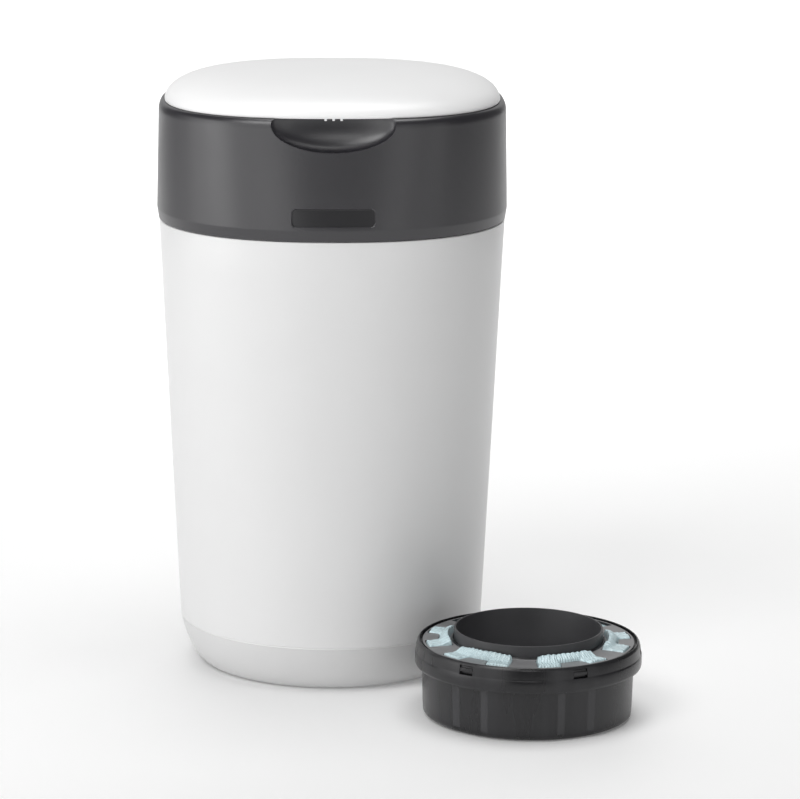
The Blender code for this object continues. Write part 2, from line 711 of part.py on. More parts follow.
def make_inner_deck(paint):
    edge_half = head_outer(LAND_HEIGHT) - HEAD_WALL - SEAT_GAP
    opening_top = LAND_HEIGHT - DECK_STEP
    collar_bottom = opening_top - COLLAR_DEPTH

    def circle(radius, height):
        return squared_circle(radius, 2.0, height)

    def plan(half, height):
        return squared_circle(half, plan_power(height), height)

    rings = [
        plan(edge_half, LAND_HEIGHT),
        plan(LAND_HALF, LAND_HEIGHT),
        plan(LAND_HALF - DECK_DRAFT, opening_top),
        circle(OPENING_RADIUS, opening_top),
        circle(OPENING_RADIUS, collar_bottom),
        circle(OPENING_RADIUS + DECK_WALL, collar_bottom),
        circle(OPENING_RADIUS + DECK_WALL, opening_top - DECK_WALL),
        plan(LAND_HALF + DECK_WALL - DECK_DRAFT, opening_top - DECK_WALL),
        plan(LAND_HALF + DECK_WALL, LAND_HEIGHT - DECK_WALL),
        plan(edge_half - DECK_WALL, LAND_HEIGHT - DECK_WALL),
        plan(edge_half - DECK_WALL, LAND_HEIGHT - DECK_SKIRT),
        plan(edge_half, LAND_HEIGHT - DECK_SKIRT),
    ]
    deck = add_part("inner_deck", loft("inner_deck", rings, closed=True), paint)

    post_bottom = flange_top() + SEAT_GAP
    post_top = opening_top - DECK_WALL + WELD_DEPTH
    posts = []
    holes = []
    for turn in post_turns():
        x, y = polar(POST_CIRCLE, turn)
        posts.append((POST_RADIUS, (x, y, post_bottom), (x, y, post_top)))
        holes.append((SCREW_RADIUS + SEAT_GAP, (x, y, post_bottom - OVERRUN),
                      (x, y, post_bottom + SCREW_LENGTH)))
    x, y = polar(PAWL_PIVOT_CIRCLE, PAWL_ANGLE)
    pawl_top = post_bottom + SEAT_GAP + RATCHET_THICKNESS + SEAT_GAP
    posts.append((PAWL_STEM_RADIUS, (x, y, pawl_top), (x, y, post_top)))
    pawl_pin = [(PAWL_PIN_RADIUS, (x, y, post_bottom + SEAT_GAP), (x, y, pawl_top + WELD_DEPTH))]
    join(deck, add_tool("deck_posts", rods("deck_posts", posts)))
    join(deck, add_tool("deck_pawl_pin", rods("deck_pawl_pin", pawl_pin)))
    cut(deck, add_tool("deck_screw_holes", rods("deck_screw_holes", holes)))
    cut(deck, scoop_bowl("deck_scoop_notch", SCOOP_WALL + SEAT_GAP + SEAT_GAP))
    return deck


def make_housing(paint):
    """The bowl under the deck: a flange screwed to the posts, and a floor around the outlet."""
    flange_high = flange_top()
    flange_low = flange_high - HOUSING_WALL
    wall_inner = HOLDER_CUP_RADIUS + HOLDER_WALL + HOUSING_RUN
    wall_outer = wall_inner + HOUSING_WALL
    floor_top = housing_floor()
    floor_bottom = floor_top - HOUSING_WALL
    profile = [
        (HOUSING_OUTLET, floor_top),
        (wall_inner, floor_top),
        (wall_inner, flange_high),
        (HOUSING_FLANGE, flange_high),
        (HOUSING_FLANGE, flange_low),
        (wall_outer, flange_low),
        (wall_outer, floor_bottom),
        (HOUSING_OUTLET, floor_bottom),
    ]
    housing = turned("mechanism_housing", profile, ROUND_FACETS, paint)
    holes = []
    for turn in post_turns():
        x, y = polar(POST_CIRCLE, turn)
        holes.append((SCREW_RADIUS + SEAT_GAP, (x, y, flange_low - OVERRUN),
                      (x, y, flange_high + OVERRUN)))
    cut(housing, add_tool("housing_screw_holes", rods("housing_screw_holes", holes)))
    return housing


def housing_floor():
    """The housing's floor, which carries the film gripper."""
    return HOLDER_FLOOR - HOLDER_WALL - HOUSING_DROP


def make_screw(name, paint, x, y):
    head_top = flange_top() - HOUSING_WALL - SEAT_GAP
    head_bottom = head_top - SCREW_HEAD_HEIGHT
    tip = head_bottom + SCREW_LENGTH
    profile = [
        (0.0, tip),
        (SCREW_RADIUS, tip - SCREW_RADIUS),
        (SCREW_RADIUS, head_top),
        (SCREW_HEAD_RADIUS, head_top),
        (SCREW_HEAD_RADIUS, head_bottom),
        (0.0, head_bottom),
    ]
    return turned(name, profile, SCREW_FACETS, paint, (x, y, 0.0))


def make_gripper(paint):
    """A soft ring whose fingers hold the twisted film under the cassette."""
    seat = housing_floor() + SEAT_GAP
    outer = HOLDER_CUP_RADIUS + HOLDER_WALL + HOUSING_RUN - RUNNING_GAP
    top = seat + GRIPPER_THICKNESS
    profile = [
        (GRIPPER_TIP_RADIUS, top - GRIPPER_DROP),
        (GRIPPER_ROOT_RADIUS, top),
        (outer, top),
        (outer, seat),
        (GRIPPER_ROOT_RADIUS, seat),
        (GRIPPER_TIP_RADIUS, seat - GRIPPER_DROP),
    ]
    gripper = turned("film_gripper", profile, ROUND_FACETS, paint)
    slit = [((GRIPPER_TIP_RADIUS - OVERRUN, -GRIPPER_SLIT / 2.0, seat - GRIPPER_DROP - OVERRUN),
             (GRIPPER_ROOT_RADIUS, GRIPPER_SLIT / 2.0, top + OVERRUN))]
    turns = [2.0 * math.pi * (step + 0.5) / GRIPPER_FINGERS for step in range(GRIPPER_FINGERS)]
    cut(gripper, add_tool("gripper_slits", boxes("gripper_slits", slit, turns)))
    return gripper


# Cassette holder, ratchet ring and dial

def make_holder(paint):
    bottom = HOLDER_FLOOR - HOLDER_WALL
    step = holder_step()
    rim_top = step + HOLDER_WALL + HOLDER_RIM_RISE
    cup_outer = HOLDER_CUP_RADIUS + HOLDER_WALL
    rim_outer = HOLDER_RIM_RADIUS + HOLDER_WALL
    profile = [
        (HOLDER_OUTLET, HOLDER_FLOOR),
        (HOLDER_CUP_RADIUS, HOLDER_FLOOR),
        (HOLDER_CUP_RADIUS, step + HOLDER_WALL),
        (HOLDER_RIM_RADIUS, step + HOLDER_WALL),
        (HOLDER_RIM_RADIUS, rim_top),
        (rim_outer, rim_top),
        (rim_outer, step),
        (cup_outer, step),
        (cup_outer, bottom),
        (HOLDER_OUTLET, bottom),
    ]
    holder = turned("cassette_holder", profile, ROUND_FACETS, paint)
    rib_inner = CASSETTE_TOP_RADIUS - FLUTE_DEPTH + RIB_CLEARANCE
    rib = [((rib_inner, -RIB_HALF_WIDTH, HOLDER_FLOOR - WELD_DEPTH),
            (HOLDER_CUP_RADIUS + WELD_DEPTH, RIB_HALF_WIDTH, step))]
    join(holder, add_tool("holder_ribs", boxes("holder_ribs", rib, flute_turns())))
    return holder


def make_ratchet_ring(paint):
    """A toothed ring on the holder's outside: long slopes one way, steep faces the other."""
    top = holder_step() - SEAT_GAP
    bottom = top - RATCHET_THICKNESS
    tooth_shares = ((0.0, RATCHET_ROOT), (TOOTH_RISE_SHARE, RATCHET_TIP), (TOOTH_DROP_SHARE, RATCHET_TIP))
    half_chord = math.pi / RATCHET_TEETH * TOOTH_RISE_SHARE
    inner = (HOLDER_CUP_RADIUS + HOLDER_WALL + SEAT_GAP) / math.cos(half_chord)
    outer_ring = []
    inner_ring = []
    for tooth in range(RATCHET_TEETH):
        for share, radius in tooth_shares:
            turn = 2.0 * math.pi * (tooth + share) / RATCHET_TEETH
            outer_ring.append(polar(radius, turn))
            inner_ring.append(polar(inner, turn))
    rings = [
        [(x, y, bottom) for x, y in outer_ring],
        [(x, y, top) for x, y in outer_ring],
        [(x, y, top) for x, y in inner_ring],
        [(x, y, bottom) for x, y in inner_ring],
    ]
    return add_part("ratchet_ring", loft("ratchet_ring", rings, closed=True), paint)


def make_dial(paint):
    """The ring that the hand turns, seated on the holder's rim."""
    seat = holder_step() + HOLDER_WALL + HOLDER_RIM_RISE + SEAT_GAP
    rim_outer = HOLDER_RIM_RADIUS + HOLDER_WALL
    skirt_inner = rim_outer + SEAT_GAP
    outer = OPENING_RADIUS - RUNNING_GAP
    top = seat + DIAL_HEIGHT
    edge = top - DIAL_HEIGHT / 2.0
    profile = [
        (HOLDER_RIM_RADIUS, top - DIAL_WALL),
        (HOLDER_RIM_RADIUS + DIAL_WALL, top),
        ((HOLDER_RIM_RADIUS + outer) / 2.0, top),
        (outer, edge),
        (outer, edge - DIAL_WALL),
        (skirt_inner + DIAL_WALL, seat),
        (skirt_inner + DIAL_WALL, seat - DIAL_SKIRT),
        (skirt_inner, seat - DIAL_SKIRT),
        (skirt_inner, seat),
        (HOLDER_RIM_RADIUS, seat),
    ]
    dial = turned("twist_dial", profile, ROUND_FACETS, paint)
    grip = [((HOLDER_RIM_RADIUS + DIAL_WALL + DIAL_WALL, -DIAL_GRIP_HALF_WIDTH, edge),
             (outer - DIAL_WALL, DIAL_GRIP_HALF_WIDTH, top + DIAL_GRIP_RISE))]
    turns = [2.0 * math.pi * step / DIAL_GRIPS for step in range(DIAL_GRIPS)]
    join(dial, add_tool("dial_grips", boxes("dial_grips", grip, turns)))
    return dial


def make_pawl(paint):
    """A sprung arm whose nose clicks over the ratchet ring."""
    bottom = flange_top() + SEAT_GAP
    top = bottom + RATCHET_THICKNESS
    pivot_x, pivot_y = polar(PAWL_PIVOT_CIRCLE, PAWL_ANGLE)
    nose_turn = pawl_nose_turn()
    nose_x, nose_y = polar(PAWL_NOSE_RADIUS, nose_turn)
    along = Vector((nose_x - pivot_x, nose_y - pivot_y))
    along.normalize()
    across = Vector((-along.y, along.x)) * PAWL_ARM_HALF
    pivot = Vector((pivot_x, pivot_y))
    nose = Vector((nose_x, nose_y))
    neck = nose - along * PAWL_ARM_HALF * 2.0
    outline = [pivot - across, neck - across, nose, neck + across, pivot + across]
    pawl = add_part("ratchet_pawl", prisms("ratchet_pawl", [outline], bottom, top), paint)
    hub = rods("pawl_hub", [(PAWL_HUB_RADIUS, (pivot_x, pivot_y, bottom), (pivot_x, pivot_y, top))])
    join(pawl, add_tool("pawl_hub", hub))
    bore = rods("pawl_bore", [(PAWL_PIN_RADIUS + SEAT_GAP, (pivot_x, pivot_y, bottom - OVERRUN),
                               (pivot_x, pivot_y, top + OVERRUN))])
    cut(pawl, add_tool("pawl_bore", bore))
    return pawl


def pawl_nose_turn():
    """The angle about Z at which the pawl's nose rests on the ring."""
    reach = PAWL_LENGTH / PAWL_PIVOT_CIRCLE
    pitch = 2.0 * math.pi / RATCHET_TEETH
    teeth = round((PAWL_ANGLE - reach) / pitch)
    return (teeth + PAWL_REST_SHARE) * pitch


# Film cutter

def guide_top():
    return housing_floor() - HOUSING_WALL - SEAT_GAP


def make_cutter_guide(paint):
    """A frame under the housing with a groove in each long bar for the carriage."""
    top = guide_top()
    bottom = top - GUIDE_HEIGHT
    frame = [((-GUIDE_HALF_LENGTH, -GUIDE_HALF_DEPTH, bottom), (GUIDE_HALF_LENGTH, GUIDE_HALF_DEPTH, top))]
    guide = add_part("cutter_guide", boxes("cutter_guide", frame), paint)
    window = [((-GUIDE_OPENING_HALF_LENGTH, -GUIDE_OPENING_HALF_DEPTH, bottom - OVERRUN),
               (GUIDE_OPENING_HALF_LENGTH, GUIDE_OPENING_HALF_DEPTH, top + OVERRUN))]
    cut(guide, add_tool("guide_window", boxes("guide_window", window)))
    slot_low = bottom + GUIDE_SLOT_RISE
    slot_high = slot_low + CARRIAGE_THICKNESS + SEAT_GAP + SEAT_GAP
    slot_half = GUIDE_OPENING_HALF_DEPTH + GUIDE_SLOT_DEPTH
    groove = [((-GUIDE_OPENING_HALF_LENGTH, -slot_half, slot_low),
               (GUIDE_OPENING_HALF_LENGTH, slot_half, slot_high))]
    cut(guide, add_tool("guide_groove", boxes("guide_groove", groove)))
    return guide


def carriage_rest_x():
    return -GUIDE_OPENING_HALF_LENGTH + CARRIAGE_HALF_LENGTH + SEAT_GAP


def carriage_bottom():
    return guide_top() - GUIDE_HEIGHT + GUIDE_SLOT_RISE + SEAT_GAP


def make_cutter(carriage_paint, blade_paint):
    """The carriage that crosses the outlet, its blade and the knob below it."""
    x = carriage_rest_x()
    low = carriage_bottom()
    half_depth = GUIDE_OPENING_HALF_DEPTH + GUIDE_SLOT_DEPTH - SEAT_GAP
    front = x + CARRIAGE_HALF_LENGTH
    back = x - CARRIAGE_HALF_LENGTH
    outline = [
        (back, -half_depth),
        (front, -half_depth),
        (front, -CARRIAGE_MOUTH_HALF),
        (front - CARRIAGE_MOUTH_DEPTH, 0.0),
        (front, CARRIAGE_MOUTH_HALF),
        (front, half_depth),
        (back, half_depth),
    ]
    plate = prisms("cutter_carriage", [outline], low, low + CARRIAGE_THICKNESS)
    carriage = add_part("cutter_carriage", plate, carriage_paint)

    blade_high = low - SEAT_GAP
    blade_box = [((-BLADE_HALF_LENGTH, -BLADE_HALF_WIDTH, blade_high - BLADE_THICKNESS),
                  (BLADE_HALF_LENGTH, BLADE_HALF_WIDTH, blade_high))]
    mesh = boxes("cutter_blade", blade_box, turns=(math.pi / 2.0 - BLADE_ANGLE,))
    blade_x = front - CARRIAGE_MOUTH_DEPTH / 2.0
    mesh.transform(Matrix.Translation((blade_x, 0.0, 0.0)))
    blade = add_part("cutter_blade", mesh, blade_paint)

    knob_y = -GUIDE_OPENING_HALF_DEPTH + KNOB_GAP_FROM_SLOT + KNOB_HALF_DEPTH
    knob_box = [((x - KNOB_HALF_LENGTH, knob_y - KNOB_HALF_DEPTH, blade_high - KNOB_HEIGHT),
                 (x + KNOB_HALF_LENGTH, knob_y + KNOB_HALF_DEPTH, blade_high))]
    knob = add_part("cutter_knob", boxes("cutter_knob", knob_box), carriage_paint)
    soften = knob.modifiers.new("rounded edges", "BEVEL")
    soften.width = KNOB_HALF_LENGTH / 4.0
    soften.segments = 2
    return [carriage, blade, knob]


# Lid

def lid_height(share, inset):
    """The dome's height over the lid's lower edge, at a share of its half width."""
    return (LID_RISE - inset) * math.sqrt(1.0 - share ** LID_CROWN_POWER)


def lid_profile(inset, dome_shares):
    """Stations from the lid's lower edge to its crown, moved in by a wall."""
    edge = HEAD_TOP + SEAT_GAP
    stations = []
    for share in dome_shares:
        stations.append(((LID_HALF - inset) * share, edge + lid_height(share, inset)))
    return stations


def lid_inner_half(rise):
    """The lid's inner half width, a little above its lower edge."""
    first_share = LID_INNER_SHARES[1]
    climb = rise / lid_height(first_share, LID_WALL)
    return (LID_HALF - LID_WALL) * (1.0 - (1.0 - first_share) * climb)


def make_lid_shell(paint):
    stations = lid_profile(LID_WALL, LID_INNER_SHARES)[::-1] + lid_profile(0.0, LID_DOME_SHARES)
    rings = [squared_circle(half, LID_POWER, height) for half, height in stations]
    lid = add_part("lid_shell", loft("lid_shell", rings, closed=False), paint)

    edge = HEAD_TOP + SEAT_GAP
    teeth = []
    for step in (-1, 0, 1):
        x = step * GRIP_TOOTH_PITCH
        teeth.append(((x - GRIP_TOOTH_HALF, -LID_HALF + LID_WALL / 4.0, edge - GRIP_TOOTH_DROP),
                      (x + GRIP_TOOTH_HALF, -LID_HALF + LID_WALL, edge + WELD_DEPTH + WELD_DEPTH)))
    join(lid, add_tool("lid_grip_teeth", boxes("lid_grip_teeth", teeth)))

    half = LID_BARREL_HALF
    web_box = [((-half, LID_HALF - WEB_REACH, edge + SEAT_GAP),
                (half, LID_AXIS_Y, LID_AXIS_Z + LID_BARREL_RADIUS))]
    web = add_tool("lid_barrel_web", boxes("lid_barrel_web", web_box))
    middle = LID_WALL / 2.0
    core = [(LID_HALF - middle, edge - OVERRUN)] + lid_profile(middle, LID_INNER_SHARES)
    core_rings = [squared_circle(core_half, LID_POWER, height) for core_half, height in core]
    cut(web, add_tool("lid_core", loft("lid_core", core_rings, closed=False)))
    join(lid, web)
    barrel = rods("lid_barrel", [(LID_BARREL_RADIUS, (-half, LID_AXIS_Y, LID_AXIS_Z),
                                  (half, LID_AXIS_Y, LID_AXIS_Z))])
    join(lid, add_tool("lid_barrel", barrel))
    reach = half + OVERRUN
    bore = rods("lid_barrel_bore", [(HINGE_PIN_RADIUS + SEAT_GAP, (-reach, LID_AXIS_Y, LID_AXIS_Z),
                                     (reach, LID_AXIS_Y, LID_AXIS_Z))])
    cut(lid, add_tool("lid_barrel_bore", bore))
    return lid


def make_lid_liner(paint):
    """A tray that closes the lid from below, with a flange on the lid's inner edge."""
    edge = HEAD_TOP + SEAT_GAP
    bottom = edge - LINER_DROP
    flange_low = edge + LINER_FLANGE_RISE
    flange_high = flange_low + LINER_RIM_HEIGHT
    stations = [
        (LINER_HALF, bottom),
        (LINER_HALF, flange_low),
        (lid_inner_half(flange_low - edge) - SEAT_GAP, flange_low),
        (lid_inner_half(flange_high - edge) - SEAT_GAP, flange_high),
        (LINER_HALF - LINER_WALL, flange_high),
        (LINER_HALF - LINER_WALL, bottom + LINER_WALL),
    ]
    rings = [squared_circle(half, LID_POWER, height) for half, height in stations]
    return add_part("lid_liner", loft("lid_liner", rings, closed=False), paint)


def make_lid_seal(paint):
    """A rubber ring under the liner that closes on the deck's land."""
    top = HEAD_TOP + SEAT_GAP - LINER_DROP - SEAT_GAP
    bottom = LAND_HEIGHT + SEAT_GAP
    outer = LINER_HALF - SEAL_INSET
    inner = outer - SEAL_WIDTH
    stations = [(outer, top), (outer, bottom), (inner, bottom), (inner, top)]
    rings = [squared_circle(half, LID_POWER, height, ROUND_FACETS) for half, height in stations]
    return add_part("lid_seal", loft("lid_seal", rings, closed=True), paint)


def make_plunger(paint):
    """The dome under the lid that presses a nappy down into the cassette's core."""
    top = HEAD_TOP + SEAT_GAP - LINER_DROP - SEAT_GAP
    bottom = top - PLUNGER_DEPTH
    profile = [(0.0, top), (PLUNGER_RADIUS, top)]
    for step in range(CURVE_STEPS):
        turn = math.pi / 2.0 * step / (CURVE_STEPS - 1)
        radius = PLUNGER_RADIUS - PLUNGER_ROUND * (1.0 - math.cos(turn))
        profile.append((radius, bottom + PLUNGER_ROUND * (1.0 - math.sin(turn))))
    profile.append((0.0, bottom))
    return turned("plunger", profile, ROUND_FACETS, paint)


# Cassette

def flute_turns():
    """The six keyed angles that cassette and holder share."""
    first = FLUTE_PHASE - math.pi / 2.0 + math.pi / FLUTE_COUNT
    return [first + 2.0 * math.pi * step / FLUTE_COUNT for step in range(FLUTE_COUNT)]


def keyed_ring(radius, height, depth):
    """A ring with a flat-floored flute at each keyed angle."""
    degree_depth_shares = ((-30, 0.0), (-20.5, 0.0), (-11.5, 0.0), (-6.5, 1.0),
                           (6.5, 1.0), (11.5, 0.0), (20.5, 0.0))
    points = []
    for centre in flute_turns():
        for degrees, share in degree_depth_shares:
            x, y = polar(radius - depth * share, centre + math.radians(degrees))
            points.append((x, y, height))
    return points


def channel_floor():
    """Top of the floor of the narrow channel between the cap's plate and its rim."""
    return CAP_HEIGHT - CHANNEL_DEPTH


def cassette_body_mesh():
    """An annular trough with a core tube that stands up through its middle."""
    cap_seat = channel_floor() - CHANNEL_WALL - SEAT_GAP
    neck = CASSETTE_TOP_RADIUS - SEAT_GAP
    inside = CASSETTE_TOP_RADIUS - CASSETTE_WALL
    flute_top = SKIRT_BOTTOM - SKIRT_WALL
    half_round = math.pi / 4.0
    round_width = CASSETTE_BASE_RADIUS - CASSETTE_FOOT_RADIUS
    round_height = CASSETTE_FOOT_ROUND * (1.0 - math.cos(half_round))
    rings = [
        keyed_ring(CASSETTE_FOOT_RADIUS, 0.0, 0.0),
        keyed_ring(CASSETTE_FOOT_RADIUS + round_width * math.sin(half_round), round_height, FLUTE_DEPTH / 2.0),
        keyed_ring(CASSETTE_BASE_RADIUS, CASSETTE_FOOT_ROUND, FLUTE_DEPTH),
        keyed_ring(CASSETTE_TOP_RADIUS, flute_top, FLUTE_DEPTH),
        keyed_ring(CASSETTE_TOP_RADIUS, SKIRT_BOTTOM, 0.0),
        keyed_ring(neck, cap_seat, 0.0),
        keyed_ring(inside, cap_seat, 0.0),
        keyed_ring(inside, SKIRT_BOTTOM, 0.0),
        keyed_ring(inside, flute_top, FLUTE_DEPTH),
        keyed_ring(CASSETTE_BASE_RADIUS - CASSETTE_WALL, CASSETTE_FOOT_ROUND, FLUTE_DEPTH),
        keyed_ring(CASSETTE_FOOT_RADIUS, CASSETTE_FLOOR, 0.0),
        keyed_ring(CORE_RADIUS, CASSETTE_FLOOR, 0.0),
        keyed_ring(CORE_RADIUS, CASSETTE_HEIGHT, 0.0),
        keyed_ring(CORE_RADIUS - CORE_WALL, CASSETTE_HEIGHT, 0.0),
        keyed_ring(CORE_RADIUS - CORE_WALL, 0.0, 0.0),
    ]
    return loft("cassette_body", rings, closed=True)


def window_outlines():
    """Six U-shaped windows, each around a tongue that points inward from the outer ring."""
    half = WINDOW_HALF_ANGLE
    outlines = []
    for centre in flute_turns():
        outline = []
        for step in range(CURVE_STEPS + 1):
            turn = centre - half + 2.0 * half * step / CURVE_STEPS
            outline.append(polar(WINDOW_INNER, turn))
        outline.append(polar(WINDOW_OUTER, centre + half))
        outline.append(polar(WINDOW_OUTER, centre + TONGUE_HALF_ANGLE))
        outline.append(polar(TONGUE_TIP, centre + TONGUE_TIP_HALF_ANGLE))
        outline.append(polar(TONGUE_TIP, centre - TONGUE_TIP_HALF_ANGLE))
        outline.append(polar(WINDOW_OUTER, centre - TONGUE_HALF_ANGLE))
        outline.append(polar(WINDOW_OUTER, centre - half))
        outlines.append(outline)
    return outlines


def make_cassette_cap(name, paint, location, show_snaps):
    """The cap: a hub around the core, a plate with film windows, a channel and a snap skirt."""
    hub_inner = CORE_RADIUS + SEAT_GAP
    plate = CAP_HEIGHT - PLATE_SINK
    plate_low = plate - CAP_WALL
    skirt_inner = SKIRT_RADIUS - SKIRT_STEP_DEPTH - SKIRT_WALL
    rim = CHANNEL_OUTER + RIM_WIDTH
    channel_under = channel_floor() - CHANNEL_WALL
    profile = [
        (hub_inner, plate + HUB_RISE),
        (hub_inner + HUB_WALL, plate + HUB_RISE),
        (hub_inner + HUB_WIDTH, plate),
        (CHANNEL_INNER, plate),
        (CHANNEL_INNER, channel_floor()),
        (CHANNEL_OUTER, channel_floor()),
        (CHANNEL_OUTER, CAP_HEIGHT),
        (rim, CAP_HEIGHT),
        (rim + RIM_BEVEL_WIDTH, CAP_HEIGHT - RIM_BEVEL_DROP),
        (SKIRT_RADIUS - SKIRT_STEP_DEPTH, SKIRT_STEP + SKIRT_STEP_DEPTH),
        (SKIRT_RADIUS, SKIRT_STEP),
        (SKIRT_RADIUS, SKIRT_BOTTOM),
        (skirt_inner, SKIRT_BOTTOM),
        (skirt_inner, channel_under),
        (CHANNEL_INNER - CHANNEL_WALL, channel_under),
        (CHANNEL_INNER - CHANNEL_WALL, plate_low),
        (hub_inner, plate_low),
    ]
    cap = turned(name, profile, CAP_FACETS, paint, location)
    low = plate_low - OVERRUN
    windows = prisms(name + "_windows", window_outlines(), low, CAP_HEIGHT + OVERRUN)
    cut(cap, add_tool(name + "_windows", windows, location))
    if show_snaps:
        cut_snap_windows(cap, name, location)
    return cap


def cut_snap_windows(cap, name, location):
    """Six slots in the skirt, each crossed by a bar that the body's snap hook catches."""
    skirt_inner = SKIRT_RADIUS - SKIRT_STEP_DEPTH - SKIRT_WALL
    snap_in = skirt_inner - SEAT_GAP
    snap_out = SKIRT_RADIUS + OVERRUN
    gap_low = (SNAP_MID - SNAP_BAR / 2.0 - SNAP_HEIGHT, SNAP_MID - SNAP_BAR / 2.0)
    gap_high = (SNAP_MID + SNAP_BAR / 2.0, SNAP_MID + SNAP_BAR / 2.0 + SNAP_HEIGHT)
    slots = [((snap_in, -SNAP_WIDTH / 2.0, low), (snap_out, SNAP_WIDTH / 2.0, high))
             for low, high in (gap_low, gap_high)]
    cut(cap, add_tool(name + "_snaps", boxes(name + "_snaps", slots, flute_turns()), location))


def film_mesh():
    """The pleated film sleeve packed around the core."""
    inner = CORE_RADIUS + FILM_CLEARANCE
    outer = CASSETTE_BASE_RADIUS - CASSETTE_WALL - FLUTE_DEPTH - FILM_CLEARANCE
    bottom = CASSETTE_FLOOR + SEAT_GAP
    shoulder = CASSETTE_FOOT_ROUND + FILM_CLEARANCE
    top = CAP_HEIGHT - PLATE_SINK - CAP_WALL - SEAT_GAP - FILM_PLEAT
    points = 3 * FILM_PLEATS
    rings = []
    foot = CASSETTE_FOOT_RADIUS - FILM_CLEARANCE
    for radius, height, lift in ((inner, bottom, 0.0), (foot, bottom, 0.0), (outer, shoulder, 0.0),
                                 (outer, top, FILM_PLEAT), (inner, top, FILM_PLEAT)):
        ring = []
        for step in range(points):
            turn = 2.0 * math.pi * step / points
            x, y = polar(radius, turn)
            ring.append((x, y, height + lift * math.cos(turn * FILM_PLEATS)))
        rings.append(ring)
    return loft("film", rings, closed=True)


def make_cassette(prefix, location, body_paint, cap_paint, film_paint, show_snaps):
    body = add_part(prefix + "_body", cassette_body_mesh(), body_paint, location)
    cap = make_cassette_cap(prefix + "_cap", cap_paint, location, show_snaps)
    film = add_part(prefix + "_film", film_mesh(), film_paint, location)
    return [body, cap, film]


# Assembly

def build():
    white = material("white satin plastic", (0.86, 0.86, 0.87), 0.38)
    inner_white = material("inner white plastic", (0.80, 0.80, 0.81), 0.45)
    charcoal = material("charcoal satin plastic", (0.085, 0.085, 0.095), 0.42)
    dark = material("dark plastic", (0.045, 0.045, 0.05), 0.40)
    grey = material("grey plastic", (0.22, 0.22, 0.23), 0.45)
    rubber = material("soft grey rubber", (0.13, 0.13, 0.14), 0.75)
    film = material("film", (0.78, 0.88, 0.90), 0.35)
    steel = material("steel", (0.62, 0.62, 0.64), 0.25, 1.0)

    make_tub(white)
    tub_ear_outer = HEAD_BARREL_HALF + SEAT_GAP + TUB_EAR_WIDTH
    make_hinge_pin("head_hinge_pin", steel, tub_ear_outer, HEAD_AXIS_Y, HEAD_AXIS_Z)

    head_axis = add_axis("head_hinge_axis", (0.0, HEAD_AXIS_Y, HEAD_AXIS_Z))
    head_ear_outer = LID_BARREL_HALF + SEAT_GAP + HEAD_EAR_WIDTH
    head_pieces = [
        make_head_shell(charcoal),
        make_inner_deck(grey),
        make_housing(dark),
        make_gripper(rubber),
        make_cutter_guide(dark),
        make_hinge_pin("lid_hinge_pin", steel, head_ear_outer, LID_AXIS_Y, LID_AXIS_Z),
    ]
    for number, turn in enumerate(post_turns(), start=1):
        x, y = polar(POST_CIRCLE, turn)
        head_pieces.append(make_screw("housing_screw_%d" % number, steel, x, y))
    carry(head_axis, head_pieces)

    lid_axis = add_axis("lid_hinge_axis", (0.0, LID_AXIS_Y, LID_AXIS_Z), head_axis)
    lid_pieces = [make_lid_shell(white), make_lid_liner(inner_white), make_lid_seal(rubber),
                  make_plunger(inner_white)]
    carry(lid_axis, lid_pieces)

    turn_axis = add_axis("twist_axis", (0.0, 0.0, HOLDER_FLOOR), head_axis)
    loaded_place = (0.0, 0.0, HOLDER_FLOOR + SEAT_GAP)
    turning = [make_holder(grey), make_ratchet_ring(dark), make_dial(grey)]
    turning += make_cassette("loaded_cassette", loaded_place, dark, dark, film, show_snaps=False)
    carry(turn_axis, turning)

    pawl_x, pawl_y = polar(PAWL_PIVOT_CIRCLE, PAWL_ANGLE)
    pawl_axis = add_axis("pawl_axis", (pawl_x, pawl_y, flange_top() + SEAT_GAP), head_axis)
    carry(pawl_axis, [make_pawl(grey)])

    cutter_axis = add_axis("cutter_track", (carriage_rest_x(), 0.0, carriage_bottom()), head_axis)
    carry(cutter_axis, make_cutter(dark, steel))

    refill_place = (*polar(REFILL_DISTANCE, REFILL_TURN), 0.0)
    refill_axis = add_axis("refill_foot", refill_place)
    carry(refill_axis, make_cassette("refill", refill_place, dark, dark, film, show_snaps=True))


clear_scene()
parts = new_collection("nappy_bin")
tools = new_collection("nappy_bin_cutters")
build()
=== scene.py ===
"""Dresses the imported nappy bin: fine lofts over the plain solids, plastics, film, light and camera.

Metres, +Z up, front at -Y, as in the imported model. The constants' angles are in degrees, unless their
names say otherwise.
"""

import json
import math

import bmesh
import bpy
from mathutils import Matrix, Vector, noise


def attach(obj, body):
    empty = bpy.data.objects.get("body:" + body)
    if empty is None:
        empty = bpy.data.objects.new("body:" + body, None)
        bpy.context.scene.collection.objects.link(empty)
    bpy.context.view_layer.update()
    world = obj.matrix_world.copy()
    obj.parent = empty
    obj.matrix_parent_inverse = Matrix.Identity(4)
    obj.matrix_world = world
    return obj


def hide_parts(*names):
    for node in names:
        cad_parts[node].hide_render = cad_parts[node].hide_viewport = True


MM = 0.001

